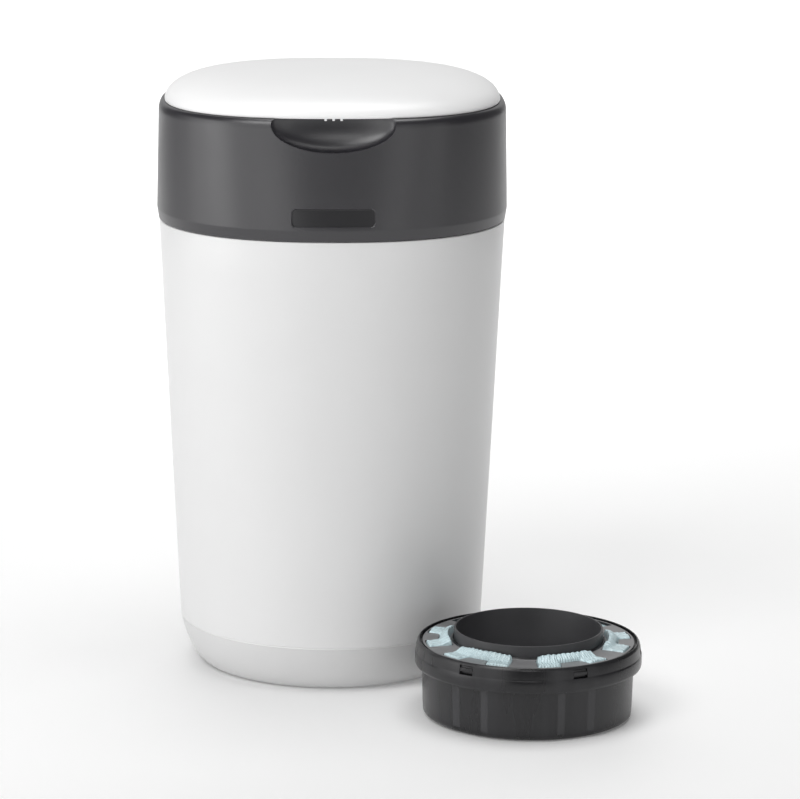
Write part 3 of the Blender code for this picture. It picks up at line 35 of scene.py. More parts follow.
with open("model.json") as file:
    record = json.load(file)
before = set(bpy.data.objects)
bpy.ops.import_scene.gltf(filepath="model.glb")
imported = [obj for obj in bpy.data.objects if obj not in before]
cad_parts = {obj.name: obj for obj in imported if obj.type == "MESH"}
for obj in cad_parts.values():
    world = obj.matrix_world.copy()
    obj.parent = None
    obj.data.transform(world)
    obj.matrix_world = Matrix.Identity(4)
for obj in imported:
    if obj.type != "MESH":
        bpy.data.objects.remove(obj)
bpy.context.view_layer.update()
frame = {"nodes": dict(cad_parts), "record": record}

# Plan, a squared circle that gets squarer from foot to lid
SEAM_HEIGHT = 340.3 * MM
LID_EDGE = 428.4 * MM
FOOT_POWER = 2.0
SEAM_POWER = 2.24
LID_POWER = 2.52
PLAN_FACETS = 192

# Shading and softened edges
SHARP_ANGLE = 32.0
SOFTENED_SHARP_ANGLE = 50.0
SOFTEN_ANGLE = 35.0
SOFTEN_SEGMENTS = 2


# Materials

DRIFT_SCALE = 14.0
DRIFT_LOW = 0.3
DRIFT_HIGH = 0.7
GLOSS_DRIFT = 0.03
GRAIN_HEIGHT = 0.5 * MM
COAT_ROUGHNESS = 0.15
PLEAT_RADIANS = 1300.0
PLEAT_SWAY = 9.0
PLEAT_HEIGHT = 0.6 * MM


def add_node(paint, kind, **values):
    node = paint.node_tree.nodes.new(kind)
    for key, value in values.items():
        setattr(node, key, value)
    return node


def plastic(name, colour, roughness, grain=900.0, depth=0.05, variation=0.03, stretch=(1, 1, 1),
            coat=0.0, metallic=0.0, specular=0.5, flow=None):
    """A moulded plastic: slow drift in colour and gloss, and a fine grain in the surface.

    variation is the share by which the colour drifts, and flow draws that drift out. grain and depth are
    the scale and strength of the surface's grain, and stretch draws it out.
    """
    paint = bpy.data.materials.new(name)
    paint.use_nodes = True
    links = paint.node_tree.links
    shader = paint.node_tree.nodes["Principled BSDF"]
    shader.inputs["Metallic"].default_value = metallic
    shader.inputs["Coat Weight"].default_value = coat
    shader.inputs["Coat Roughness"].default_value = COAT_ROUGHNESS
    shader.inputs["Specular IOR Level"].default_value = specular
    place = add_node(paint, "ShaderNodeTexCoord")
    drift = add_node(paint, "ShaderNodeTexNoise")
    drift.inputs["Scale"].default_value = DRIFT_SCALE
    drift.inputs["Detail"].default_value = 3.0
    if flow:
        along = add_node(paint, "ShaderNodeMapping")
        along.inputs["Scale"].default_value = flow
        links.new(place.outputs["Object"], along.inputs["Vector"])
        links.new(along.outputs["Vector"], drift.inputs["Vector"])
    else:
        links.new(place.outputs["Object"], drift.inputs["Vector"])

    shade = add_node(paint, "ShaderNodeValToRGB")
    shade.color_ramp.elements[0].position = DRIFT_LOW
    shade.color_ramp.elements[1].position = DRIFT_HIGH
    shade.color_ramp.elements[0].color = (*[part * (1.0 - variation) for part in colour], 1.0)
    shade.color_ramp.elements[1].color = (*[min(1.0, part * (1.0 + variation)) for part in colour], 1.0)
    links.new(drift.outputs["Fac"], shade.inputs["Fac"])
    links.new(shade.outputs["Color"], shader.inputs["Base Color"])

    gloss = add_node(paint, "ShaderNodeMapRange")
    gloss.inputs["From Min"].default_value = DRIFT_LOW
    gloss.inputs["From Max"].default_value = DRIFT_HIGH
    gloss.inputs["To Min"].default_value = roughness - GLOSS_DRIFT
    gloss.inputs["To Max"].default_value = roughness + GLOSS_DRIFT
    links.new(drift.outputs["Fac"], gloss.inputs["Value"])
    links.new(gloss.outputs["Result"], shader.inputs["Roughness"])

    if depth:
        squeeze = add_node(paint, "ShaderNodeMapping")
        squeeze.inputs["Scale"].default_value = stretch
        links.new(place.outputs["Object"], squeeze.inputs["Vector"])
        speckle = add_node(paint, "ShaderNodeTexNoise")
        speckle.inputs["Scale"].default_value = grain
        speckle.inputs["Detail"].default_value = 2.0
        links.new(squeeze.outputs["Vector"], speckle.inputs["Vector"])
        bump = add_node(paint, "ShaderNodeBump")
        bump.inputs["Strength"].default_value = depth
        bump.inputs["Distance"].default_value = GRAIN_HEIGHT
        links.new(speckle.outputs["Fac"], bump.inputs["Height"])
        links.new(bump.outputs["Normal"], shader.inputs["Normal"])
    return paint


def film_paint(name, centre):
    """Thin film gathered into fine pleats around a cassette's core."""
    paint = plastic(name, (0.60, 0.76, 0.80), 0.26, grain=330.0, depth=0.45, variation=0.16, coat=0.5)
    links = paint.node_tree.links
    nodes = paint.node_tree.nodes
    shader = nodes["Principled BSDF"]
    place = nodes["Texture Coordinate"]
    shift = add_node(paint, "ShaderNodeMapping")
    shift.inputs["Location"].default_value = (-centre.x, -centre.y, 0.0)
    links.new(place.outputs["Object"], shift.inputs["Vector"])
    around = add_node(paint, "ShaderNodeTexGradient", gradient_type="RADIAL")
    links.new(shift.outputs["Vector"], around.inputs["Vector"])
    wander = add_node(paint, "ShaderNodeTexNoise")
    wander.inputs["Scale"].default_value = 160.0
    links.new(place.outputs["Object"], wander.inputs["Vector"])
    turns = add_node(paint, "ShaderNodeMath", operation="MULTIPLY")
    turns.inputs[1].default_value = PLEAT_RADIANS
    links.new(around.outputs["Fac"], turns.inputs[0])
    sway = add_node(paint, "ShaderNodeMath", operation="MULTIPLY_ADD")
    sway.inputs[1].default_value = PLEAT_SWAY
    links.new(wander.outputs["Fac"], sway.inputs[0])
    links.new(turns.outputs["Value"], sway.inputs[2])
    wave = add_node(paint, "ShaderNodeMath", operation="SINE")
    links.new(sway.outputs["Value"], wave.inputs[0])
    pleats = add_node(paint, "ShaderNodeBump")
    pleats.inputs["Strength"].default_value = 0.55
    pleats.inputs["Distance"].default_value = PLEAT_HEIGHT
    links.new(wave.outputs["Value"], pleats.inputs["Height"])
    links.new(nodes["Bump"].outputs["Normal"], pleats.inputs["Normal"])
    links.new(pleats.outputs["Normal"], shader.inputs["Normal"])
    return paint


# Camera, floor and light

CAMERA_PLACE = (-0.0251, -2.8530, 0.8021)
CAMERA_PITCH_RADIANS = 0.2085
CAMERA_TURN_RADIANS = 0.0033
CAMERA_SENSOR = 36.0
CAMERA_LENS = 173.98
CAMERA_SHIFT = 0.1429
CAMERA_REACH = 50.0
FLOOR_HALF = 9.0
FLOOR_GLOW = 0.12
WORLD_STRENGTH = 0.12
BIN_MIDDLE = (0.0, 0.0, 0.25)
STRIP_HEIGHT = 0.52
STRIP_SIZE = (0.5, 1.0)

# Upright strips around the bin: name, turn about the bin, distance and power
STRIPS = (
    ("strip far left", -195.0, 1.35, 0.5),
    ("strip back left", -176.0, 1.35, 1.9),
    ("strip left", -156.0, 1.35, 3.3),
    ("strip front left", -135.0, 1.35, 1.3),
    ("strip front", -115.0, 1.35, 1.7),
    ("strip front right", -60.0, 1.7, 1.3),
    ("strip right", -35.0, 1.7, 0.8),
)

# Softboxes: name, place, target, size and power
SOFTBOXES = (
    ("high front", (-1.06, -1.5, 2.1), BIN_MIDDLE, (1.2, 1.2), 20.0),
    ("front softbox", (-0.1, -3.6, 2.3), BIN_MIDDLE, (1.4, 1.0), 11.0),
    ("top softbox", (0.3, 0.0, 3.4), BIN_MIDDLE, (2.2, 2.2), 56.0),
    ("back softbox", (0.0, 3.2, 1.3), (0.0, 0.0, 0.2), (3.6, 2.4), 15.0),
)

# Lamps that hang over the floor behind the bin and light nothing else: name, place, size and power
FLOOR_LAMPS = (
    ("backdrop near", (-0.15, 1.9, 0.9), (1.6, 2.4), 8.0),
    ("backdrop far", (0.05, 5.2, 1.7), (3.4, 5.0), 92.0),
)


def add_camera():
    lens = bpy.data.cameras.new("camera")
    lens.sensor_width = CAMERA_SENSOR
    lens.lens = CAMERA_LENS
    lens.shift_x = CAMERA_SHIFT
    lens.clip_end = CAMERA_REACH
    camera = bpy.data.objects.new("camera", lens)
    camera.location = CAMERA_PLACE
    camera.rotation_euler = (math.pi / 2.0 - CAMERA_PITCH_RADIANS, 0.0, CAMERA_TURN_RADIANS)
    bpy.context.scene.collection.objects.link(camera)
    bpy.context.scene.camera = camera


def add_light(name, place, target, size, power):
    """A rectangular lamp that the camera doesn't see."""
    lamp = bpy.data.lights.new(name, "AREA")
    lamp.shape = "RECTANGLE"
    lamp.size = size[0]
    lamp.size_y = size[1]
    lamp.energy = power
    light = bpy.data.objects.new(name, lamp)
    light.location = place
    light.rotation_euler = (Vector(target) - light.location).to_track_quat("-Z", "Y").to_euler()
    light.visible_camera = False
    bpy.context.scene.collection.objects.link(light)
    return light


def add_studio(floor):
    """Lamps and sky. The strips leave the floor out, so that they draw no edges on it."""
    floor_alone = bpy.data.collections.new("backdrop")
    floor_alone.objects.link(floor)
    off_floor = bpy.data.collections.new("all but the floor")
    off_floor.objects.link(floor)
    off_floor.collection_objects[0].light_linking.link_state = "EXCLUDE"
    for name, turn, reach, power in STRIPS:
        place = (reach * math.cos(math.radians(turn)), reach * math.sin(math.radians(turn)), STRIP_HEIGHT)
        light = add_light(name, place, (0.0, 0.0, STRIP_HEIGHT), STRIP_SIZE, power)
        light.light_linking.receiver_collection = off_floor
    for name, place, target, size, power in SOFTBOXES:
        add_light(name, place, target, size, power)
    for name, place, size, power in FLOOR_LAMPS:
        light = add_light(name, place, (place[0], place[1], 0.0), size, power)
        light.light_linking.receiver_collection = floor_alone
    world = bpy.data.worlds.new("studio")
    world.use_nodes = True
    sky = world.node_tree.nodes["Background"]
    sky.inputs["Color"].default_value = (1.0, 1.0, 1.0, 1.0)
    sky.inputs["Strength"].default_value = WORLD_STRENGTH
    bpy.context.scene.world = world
    bpy.context.scene.view_settings.view_transform = "Standard"


def add_floor():
    build = bmesh.new()
    bmesh.ops.create_grid(build, x_segments=2, y_segments=2, size=FLOOR_HALF)
    mesh = bpy.data.meshes.new("floor")
    build.to_mesh(mesh)
    build.free()
    floor = bpy.data.objects.new("floor", mesh)
    bpy.context.scene.collection.objects.link(floor)
    paint = plastic("pale floor", (0.88, 0.88, 0.88), 0.7, depth=0.0, variation=0.0, specular=0.2)
    shader = paint.node_tree.nodes["Principled BSDF"]
    shader.inputs["Emission Color"].default_value = (1.0, 1.0, 1.0, 1.0)
    shader.inputs["Emission Strength"].default_value = FLOOR_GLOW
    mesh.materials.append(paint)
    return floor


# Meshes

def keep(name, build, paints, sharp=SHARP_ANGLE):
    """Turns a bmesh into a smooth-shaded piece."""
    bmesh.ops.recalc_face_normals(build, faces=build.faces)
    mesh = bpy.data.meshes.new(name)
    build.to_mesh(mesh)
    build.free()
    for paint in paints:
        mesh.materials.append(paint)
    mesh.shade_smooth()
    mesh.set_sharp_from_angle(angle=math.radians(sharp))
    piece = bpy.data.objects.new(name, mesh)
    bpy.context.scene.collection.objects.link(piece)
    return piece


def keep_modified(piece):
    """Keeps what a piece's modifiers make as its mesh."""
    bpy.context.view_layer.update()
    graph = bpy.context.evaluated_depsgraph_get()
    mesh = bpy.data.meshes.new_from_object(piece.evaluated_get(graph))
    piece.modifiers.clear()
    piece.data = mesh


def loft(name, rings, closed, paints, slots=None, sharp=SHARP_ANGLE):
    """A skin over rings of equal count. slots gives each row of faces its material."""
    build = bmesh.new()
    rows = [[build.verts.new(point) for point in ring] for ring in rings]
    pairs = list(zip(rows, rows[1:]))
    if closed:
        pairs.append((rows[-1], rows[0]))
    else:
        build.faces.new(rows[0])
        build.faces.new(rows[-1])
    for row, (lower, upper) in enumerate(pairs):
        for step in range(len(lower)):
            after = (step + 1) % len(lower)
            face = build.faces.new((lower[step], lower[after], upper[after], upper[step]))
            if slots:
                face.material_index = slots[row]
    return keep(name, build, paints, sharp)


def extrude_outline(build, points, offset):
    """Adds a prism with an outline as its base."""
    base = build.faces.new([build.verts.new(point) for point in points])
    grown = bmesh.ops.extrude_face_region(build, geom=[base])
    raised = [item for item in grown["geom"] if isinstance(item, bmesh.types.BMVert)]
    bmesh.ops.translate(build, vec=offset, verts=raised)


def carve(piece, tool):
    """Cuts a tool out of a piece, and removes the tool."""
    step = piece.modifiers.new("carve", "BOOLEAN")
    step.operation = "DIFFERENCE"
    step.solver = "EXACT"
    step.object = tool
    keep_modified(piece)
    bpy.data.objects.remove(tool, do_unlink=True)


def soften(piece, width, angle=SOFTEN_ANGLE):
    """Rounds off a piece's edges that turn by more than an angle."""
    step = piece.modifiers.new("soften", "BEVEL")
    step.width = width
    step.segments = SOFTEN_SEGMENTS
    step.limit_method = "ANGLE"
    step.angle_limit = math.radians(angle)
    keep_modified(piece)
    piece.data.shade_smooth()
    piece.data.set_sharp_from_angle(angle=math.radians(SOFTENED_SHARP_ANGLE))


def plan_power(height):
    """How square the plan is at a height: 2 is a circle."""
    if height < SEAM_HEIGHT:
        return FOOT_POWER + (SEAM_POWER - FOOT_POWER) * height / SEAM_HEIGHT
    climb = min(1.0, (height - SEAM_HEIGHT) / (LID_EDGE - SEAM_HEIGHT))
    return SEAM_POWER + (LID_POWER - SEAM_POWER) * climb


def plan_point(half, power, turn, height):
    """A point of the plan, at a turn in radians."""
    across = math.copysign(abs(math.cos(turn)) ** (2.0 / power), math.cos(turn))
    along = math.copysign(abs(math.sin(turn)) ** (2.0 / power), math.sin(turn))
    return (half * across, half * along, height)


def plan_ring(half, power, height, facets=PLAN_FACETS):
    """A ring of the plan, with half its width given."""
    turns = [2.0 * math.pi * (step + 0.5) / facets for step in range(facets)]
    return [plan_point(half, power, turn, height) for turn in turns]


def spread(start, end, count):
    """Evenly spaced numbers from start up to, but not with, end."""
    return [start + (end - start) * step / count for step in range(count)]


def smooth(share):
    """A share from 0 to 1, eased at both ends."""
    share = min(max(share, 0.0), 1.0)
    return share * share * (3.0 - 2.0 * share)


def soft_max(first, second, softness):
    """The larger of two numbers, with their crossing rounded off."""
    gap = first - second
    return (first + second + math.sqrt(gap * gap + softness * softness)) / 2.0


def arc(centre, radius, first, last, count):
    """Points (across, up) on an arc, with angles in degrees."""
    points = []
    for step in range(count + 1):
        turn = math.radians(first + (last - first) * step / count)
        points.append((centre[0] + radius * math.cos(turn), centre[1] + radius * math.sin(turn)))
    return points


# Tub

TUB_TOP_HALF = 128.7 * MM
TUB_WALL = 2.6 * MM
TUB_FLOOR = 3.4 * MM
TUB_ROWS = 12
TUB_ROWS_FROM_BAND = 3.0 * MM
TUB_ROWS_FROM_TOP = 2.0 * MM
BAND_HALF = 114.1 * MM
BAND_HEIGHT = 35.3 * MM
BAND_DRAFT = 1.5 * MM
BAND_GROOVE = 0.35 * MM
BAND_STEP = 0.1 * MM
FOOT_HALF = 93.0 * MM
FOOT_STEPS = 14
FOOT_BULGE = 1.5
FOOT_GROOVE_INNER = 60.0 * MM
FOOT_GROOVE_OUTER = 84.0 * MM
FOOT_GROOVE_DEPTH = 1.2 * MM
SHOULDER = 340.0 * MM
SHOULDER_ROUND = 1.0 * MM
SHOULDER_STEPS = 4
SHOULDER_INSET = 0.3 * MM
SHOULDER_SLOPE = 5.0 * MM
RIM_HALF = 125.5 * MM
RIM_TOP = 352.0 * MM
RIM_ROUND = 0.8 * MM
RIM_STEPS = 3


def foot_curve(wall, floor):
    """The rounded foot's profile, from its flat up to the top of the band, moved in by a wall."""
    pull = BAND_HALF - FOOT_HALF - BAND_DRAFT
    stations = []
    for step in range(FOOT_STEPS + 1):
        share = 1.0 - step / FOOT_STEPS
        turn = share * math.pi / 2.0
        rise = (BAND_HEIGHT - floor) * (1.0 - math.sin(turn) ** FOOT_BULGE)
        half = BAND_HALF - BAND_DRAFT * share - pull * (1.0 - math.cos(turn))
        stations.append((half - wall, floor + rise))
    return stations


def dress_tub(white, band):
    """The tub, up its outside to the rim and down its inside, with its own paint on the brushed band."""
    outer = [(FOOT_GROOVE_INNER, 0.0), (FOOT_GROOVE_INNER + FOOT_GROOVE_DEPTH, FOOT_GROOVE_DEPTH),
             (FOOT_GROOVE_OUTER - FOOT_GROOVE_DEPTH, FOOT_GROOVE_DEPTH), (FOOT_GROOVE_OUTER, 0.0)]
    outer += foot_curve(0.0, 0.0)[:-1]
    band_rows = len(outer)
    outer += [(BAND_HALF, BAND_HEIGHT - 2.0 * BAND_GROOVE), (BAND_HALF - BAND_GROOVE, BAND_HEIGHT),
              (BAND_HALF + BAND_STEP, BAND_HEIGHT + 1.6 * BAND_GROOVE)]
    for height in spread(BAND_HEIGHT + TUB_ROWS_FROM_BAND, SHOULDER - TUB_ROWS_FROM_TOP, TUB_ROWS):
        climb = (height - BAND_HEIGHT) / (SHOULDER - BAND_HEIGHT)
        outer.append((BAND_HALF + (TUB_TOP_HALF - BAND_HALF) * climb, height))
    outer += arc((TUB_TOP_HALF - SHOULDER_ROUND, SHOULDER - SHOULDER_ROUND), SHOULDER_ROUND, 0.0, 90.0,
                 SHOULDER_STEPS)
    outer += [(RIM_HALF, SHOULDER)]
    outer += arc((RIM_HALF - RIM_ROUND, RIM_TOP - RIM_ROUND), RIM_ROUND, 0.0, 90.0, RIM_STEPS)
    inside = RIM_HALF - TUB_WALL
    inner = arc((inside + RIM_ROUND, RIM_TOP - RIM_ROUND), RIM_ROUND, 90.0, 180.0, RIM_STEPS)
    inner += [(inside, SHOULDER - TUB_WALL),
              (TUB_TOP_HALF - TUB_WALL - SHOULDER_INSET, SHOULDER - TUB_WALL - SHOULDER_SLOPE)]
    inner += reversed(foot_curve(TUB_WALL, TUB_FLOOR))
    stations = outer + inner
    rings = [plan_ring(half, plan_power(height), height) for half, height in stations]
    slots = [1 if row < band_rows else 0 for row in range(len(stations))]
    tub = loft("tub_moulding", rings, False, [white, band], slots)
    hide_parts("tub")
    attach(tub, "tub")


# Head

HEAD_TOP = 428.1 * MM
HEAD_EDGE_HALF = 129.0 * MM
HEAD_EDGE_ROUND = 0.6 * MM
HEAD_BELLY = 348.5 * MM
HEAD_BELLY_HALF = 130.2 * MM
HEAD_SHOULDER = 421.1 * MM
HEAD_SHOULDER_HALF = 128.6 * MM
HEAD_ROUND_WIDTH = 4.0 * MM
HEAD_ROUND_STEPS = 10
HEAD_WALL = 2.5 * MM
LIP_HALF = 120.4 * MM
LIP_BOTTOM = 421.0 * MM
LIP_ROUND = 0.4 * MM

# The bare plate's recess
PLATE_X = 29.7 * MM
PLATE_Z = 6.5 * MM
PLATE_CENTRE_Z = 357.6 * MM
PLATE_CORNER = 3.0 * MM
PLATE_DEPTH = 0.8 * MM
PLATE_EDGE = 0.5 * MM
PLATE_FLOOR_SHARE = 0.6
PLATE_REACH = 370.0 * MM

# The scoop's bowl
SCOOP_X = 44.45 * MM
SCOOP_Z = 20.0 * MM
SCOOP_DEPTH = 11.0 * MM
SCOOP_CENTRE_Y = -124.9 * MM
SCOOP_CENTRE_Z = 424.5 * MM
SCOOP_WALL = 2.4 * MM
SCOOP_SOFTNESS = 0.7 * MM
SCOOP_FADE = 1.5

# Columns of the head's rings, the front ones as shares of the plan's half width
FRONT_SHARE = 0.42
FRONT_COLUMNS = 200
FRONT_REACH = -80.0 * MM
BACK_COLUMNS = 150

# Rows of the head's skin: single ones, and then heights with the count of rows up to the next height
HEAD_LOW_ROWS = (SEAM_HEIGHT + 2.5 * MM, HEAD_BELLY - 2.0 * MM, HEAD_BELLY - 0.5 * MM,
                 HEAD_BELLY + 0.1 * MM)
HEAD_ROWS = (
    (HEAD_BELLY + 0.7 * MM, 40),
    (PLATE_CENTRE_Z + 8.5 * MM, 12),
    (402.0 * MM, 4),
    (404.2 * MM, 52),
    (412.0 * MM, 20),
)
HEAD_INNER_FINE = (422.0 * MM, 400.0 * MM)
HEAD_INNER_FINE_ROWS = 30
HEAD_INNER_ROWS = (398.0 * MM, 370.0 * MM, 352.0 * MM)


def head_ring(half, power, height):
    """A plan ring with its columns close together across the front."""
    points = []
    for share in spread(-FRONT_SHARE, FRONT_SHARE, FRONT_COLUMNS):
        y = -half * (1.0 - abs(share) ** power) ** (1.0 / power)
        points.append((half * share, y, height))
    corner = math.acos(FRONT_SHARE ** (power / 2.0))
    for turn in spread(-corner, math.pi + corner, BACK_COLUMNS):
        points.append(plan_point(half, power, turn, height))
    return points


def scoop_face(x, z, wall):
    """How far back the scoop's bowl, grown by a wall, reaches at a place on the front, or None."""
    fill = 1.0 - (x / (SCOOP_X + wall)) ** 2 - ((z - SCOOP_CENTRE_Z) / (SCOOP_Z + wall)) ** 2
    if fill <= 0.0:
        return None
    return SCOOP_CENTRE_Y + (SCOOP_DEPTH + wall) * math.sqrt(fill)


def plate_sink(x, z):
    """Depth of the bare plate's recess at a place on the front."""
    over_x = max(abs(x) - (PLATE_X - PLATE_CORNER), 0.0)
    over_z = max(abs(z - PLATE_CENTRE_Z) - (PLATE_Z - PLATE_CORNER), 0.0)
    outside = math.hypot(over_x, over_z) - PLATE_CORNER
    return PLATE_DEPTH * smooth(0.5 - outside / PLATE_EDGE)


def pushed(point, wall):
    """Moves a point of the head's skin back behind the scoop's bowl, grown by a wall."""
    x, y, z = point
    if y > FRONT_REACH:
        return point
    target = scoop_face(x, z, wall)
    if target is None:
        return point
    moved = soft_max(y, target, SCOOP_SOFTNESS)
    fade = min(1.0, max(0.0, (target - y) / SCOOP_SOFTNESS + SCOOP_FADE))
    return (x, y + (moved - y) * fade, z)


def head_profile():
    """Half width and height of the head's outer rows, from the seam up over the shoulder."""
    heights = [SEAM_HEIGHT + HEAD_EDGE_ROUND, *HEAD_LOW_ROWS]
    ends = [start for start, count in HEAD_ROWS[1:]] + [HEAD_SHOULDER]
    for (start, count), end in zip(HEAD_ROWS, ends):
        heights += spread(start, end, count)
    stations = [(HEAD_EDGE_HALF - HEAD_EDGE_ROUND, SEAM_HEIGHT)]
    for height in heights:
        if height < HEAD_BELLY:
            climb = (height - SEAM_HEIGHT) / (HEAD_BELLY - SEAM_HEIGHT)
            half = HEAD_EDGE_HALF + (HEAD_BELLY_HALF - HEAD_EDGE_HALF) * climb
        else:
            climb = (height - HEAD_BELLY) / (HEAD_SHOULDER - HEAD_BELLY)
            half = HEAD_BELLY_HALF + (HEAD_SHOULDER_HALF - HEAD_BELLY_HALF) * climb
        stations.append((half, height))
    for step in range(HEAD_ROUND_STEPS + 1):
        turn = math.pi / 2.0 * step / HEAD_ROUND_STEPS
        stations.append((HEAD_SHOULDER_HALF - HEAD_ROUND_WIDTH * (1.0 - math.cos(turn)),
                         HEAD_SHOULDER + (HEAD_TOP - HEAD_SHOULDER) * math.sin(turn)))
    return stations


def dress_head(charcoal, plate_charcoal):
    rings = []
    for half, height in head_profile():
        ring = []
        for point in head_ring(half, plan_power(height), height):
            x, y, z = pushed(point, 0.0)
            if y < FRONT_REACH and z < PLATE_REACH:
                y += plate_sink(x, z)
            ring.append((x, y, z))
        rings.append(ring)
    inner = [(LIP_HALF + LIP_ROUND, HEAD_TOP), (LIP_HALF, HEAD_TOP - LIP_ROUND), (LIP_HALF, LIP_BOTTOM),
             (LIP_HALF + HEAD_WALL, LIP_BOTTOM), (LIP_HALF + HEAD_WALL, HEAD_TOP - HEAD_WALL)]
    for height in (*spread(*HEAD_INNER_FINE, HEAD_INNER_FINE_ROWS), *HEAD_INNER_ROWS):
        inner.append((HEAD_SHOULDER_HALF - HEAD_WALL, height))
    inner.append((HEAD_EDGE_HALF - HEAD_WALL, SEAM_HEIGHT))
    for half, height in inner:
        rings.append([pushed(point, SCOOP_WALL) for point in head_ring(half, plan_power(height), height)])
    head = loft("head_moulding", rings, True, [charcoal, plate_charcoal])
    for face in head.data.polygons:
        x, y, z = face.center
        if y < FRONT_REACH and z < PLATE_REACH and plate_sink(x, z) > PLATE_FLOOR_SHARE * PLATE_DEPTH:
            face.material_index = 1
    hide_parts("head_shell")
    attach(head, "head")


# Lid

LID_HALF = 124.2 * MM
LID_RISE = 21.0 * MM
LID_CROWN_POWER = 4
LID_WALL = 2.2 * MM
LID_EDGE_ROUND = 0.5 * MM
LID_EDGE_DRAFT = 0.15 * MM
LID_ROWS = 44
LID_INNER_EVERY = 3
LID_FACETS = 240
TOOTH_PITCH = 5.7 * MM
TOOTH_HALF = 0.9 * MM
TOOTH_FRONT = 0.55 * MM
TOOTH_BACK = 2.2 * MM
TOOTH_REACH = 1.5 * MM
TOOTH_ROUND = 0.4 * MM


def dome(inset, shares):
    """Half width and height of the lid's skin at shares of its width, moved in by an inset."""
    stations = []
    for share in shares:
        height = LID_EDGE + (LID_RISE - inset) * math.sqrt(1.0 - share ** LID_CROWN_POWER)
        stations.append(((LID_HALF - inset) * share, height))
    return stations


def dress_lid(white):
    shares = [math.sin(math.pi / 2.0 * step / LID_ROWS) for step in range(1, LID_ROWS)]
    edge = [(LID_HALF - LID_EDGE_DRAFT, LID_EDGE + LID_EDGE_ROUND), (LID_HALF - LID_EDGE_ROUND, LID_EDGE),
            (LID_HALF - LID_WALL, LID_EDGE)]
    stations = dome(0.0, shares) + edge + dome(LID_WALL, shares[::LID_INNER_EVERY])[::-1]
    rings = [plan_ring(half, LID_POWER, height, LID_FACETS) for half, height in stations]
    lid = loft("lid_moulding", rings, False, [white])
    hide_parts("lid_shell")
    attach(lid, "lid")
    for step in (-1, 0, 1):
        x = step * TOOTH_PITCH
        low = Vector((x - TOOTH_HALF, -LID_HALF + TOOTH_FRONT, LID_EDGE - TOOTH_REACH))
        high = Vector((x + TOOTH_HALF, -LID_HALF + TOOTH_BACK, LID_EDGE + TOOTH_REACH))
        shape = Matrix.Translation((low + high) / 2.0) @ Matrix.Diagonal((*(high - low), 1.0))
        build = bmesh.new()
        bmesh.ops.create_cube(build, size=1.0, matrix=shape)
        tooth = keep("lid_grip_tooth_%d" % (step + 2), build, [white])
        soften(tooth, TOOTH_ROUND)
        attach(tooth, "lid")


# Hinges

WEB_ROUND = 0.5 * MM
WEB_SOFTEN_ANGLE = 20.0
KNUCKLE_ROUND = 0.4 * MM
KNUCKLE_FACETS = 32

# Each hinge's axis as (y, z), its knuckles' radius, and how far they reach along x
HEAD_HINGE_AXIS = (135.5 * MM, 341.0 * MM)
HEAD_HINGE_RADIUS = 5.0 * MM
TUB_EARS = (32.0 * MM, 44.0 * MM)
HEAD_KNUCKLE_HALF = 31.7 * MM
LID_HINGE_AXIS = (133.4 * MM, 427.0 * MM)
LID_HINGE_RADIUS = 4.3 * MM
LID_EARS = (28.0 * MM, 38.0 * MM)
LID_KNUCKLE_HALF = 27.7 * MM

# The webs' outlines as (y, z) in mm
TUB_WEB = ((122.0, 326.3), (129.5, 326.3), (134.0, 329.0), (138.6, 334.0), (139.5, 338.0), (139.5, 339.0),
           (122.0, 339.0))
HEAD_WEB = ((124.0, 341.3), (135.5, 341.3), (138.0, 343.5), (136.0, 347.0), (124.0, 347.8))
LID_EAR_WEB = ((124.0, 413.0), (130.0, 413.0), (134.0, 416.0), (137.4, 421.5), (137.6, 427.0),
               (124.0, 427.0))
LID_WEB = ((121.0, 428.7), (133.4, 428.7), (135.5, 430.0), (133.4, 431.3), (128.0, 432.2), (121.0, 434.5))


def web(name, outline, low_x, high_x, paint):
    """A moulded web with soft edges, from one x to another."""
    build = bmesh.new()
    points = [(low_x, y * MM, z * MM) for y, z in outline]
    extrude_outline(build, points, (high_x - low_x, 0.0, 0.0))
    piece = keep(name, build, [paint])
    soften(piece, WEB_ROUND, WEB_SOFTEN_ANGLE)
    return piece


def knuckle(name, axis, radius, low_x, high_x, paint):
    """A round knuckle about a hinge's axis, from one x to another, with its end edges rounded off."""
    first = Vector((low_x, *axis))
    last = Vector((high_x, *axis))
    lean = (last - first).to_track_quat("Z", "Y").to_matrix().to_4x4()
    build = bmesh.new()
    bmesh.ops.create_cone(build, cap_ends=True, segments=KNUCKLE_FACETS, radius1=radius, radius2=radius,
                          depth=(last - first).length,
                          matrix=Matrix.Translation((first + last) / 2.0) @ lean)
    piece = keep(name, build, [paint])
    soften(piece, KNUCKLE_ROUND)
    return piece


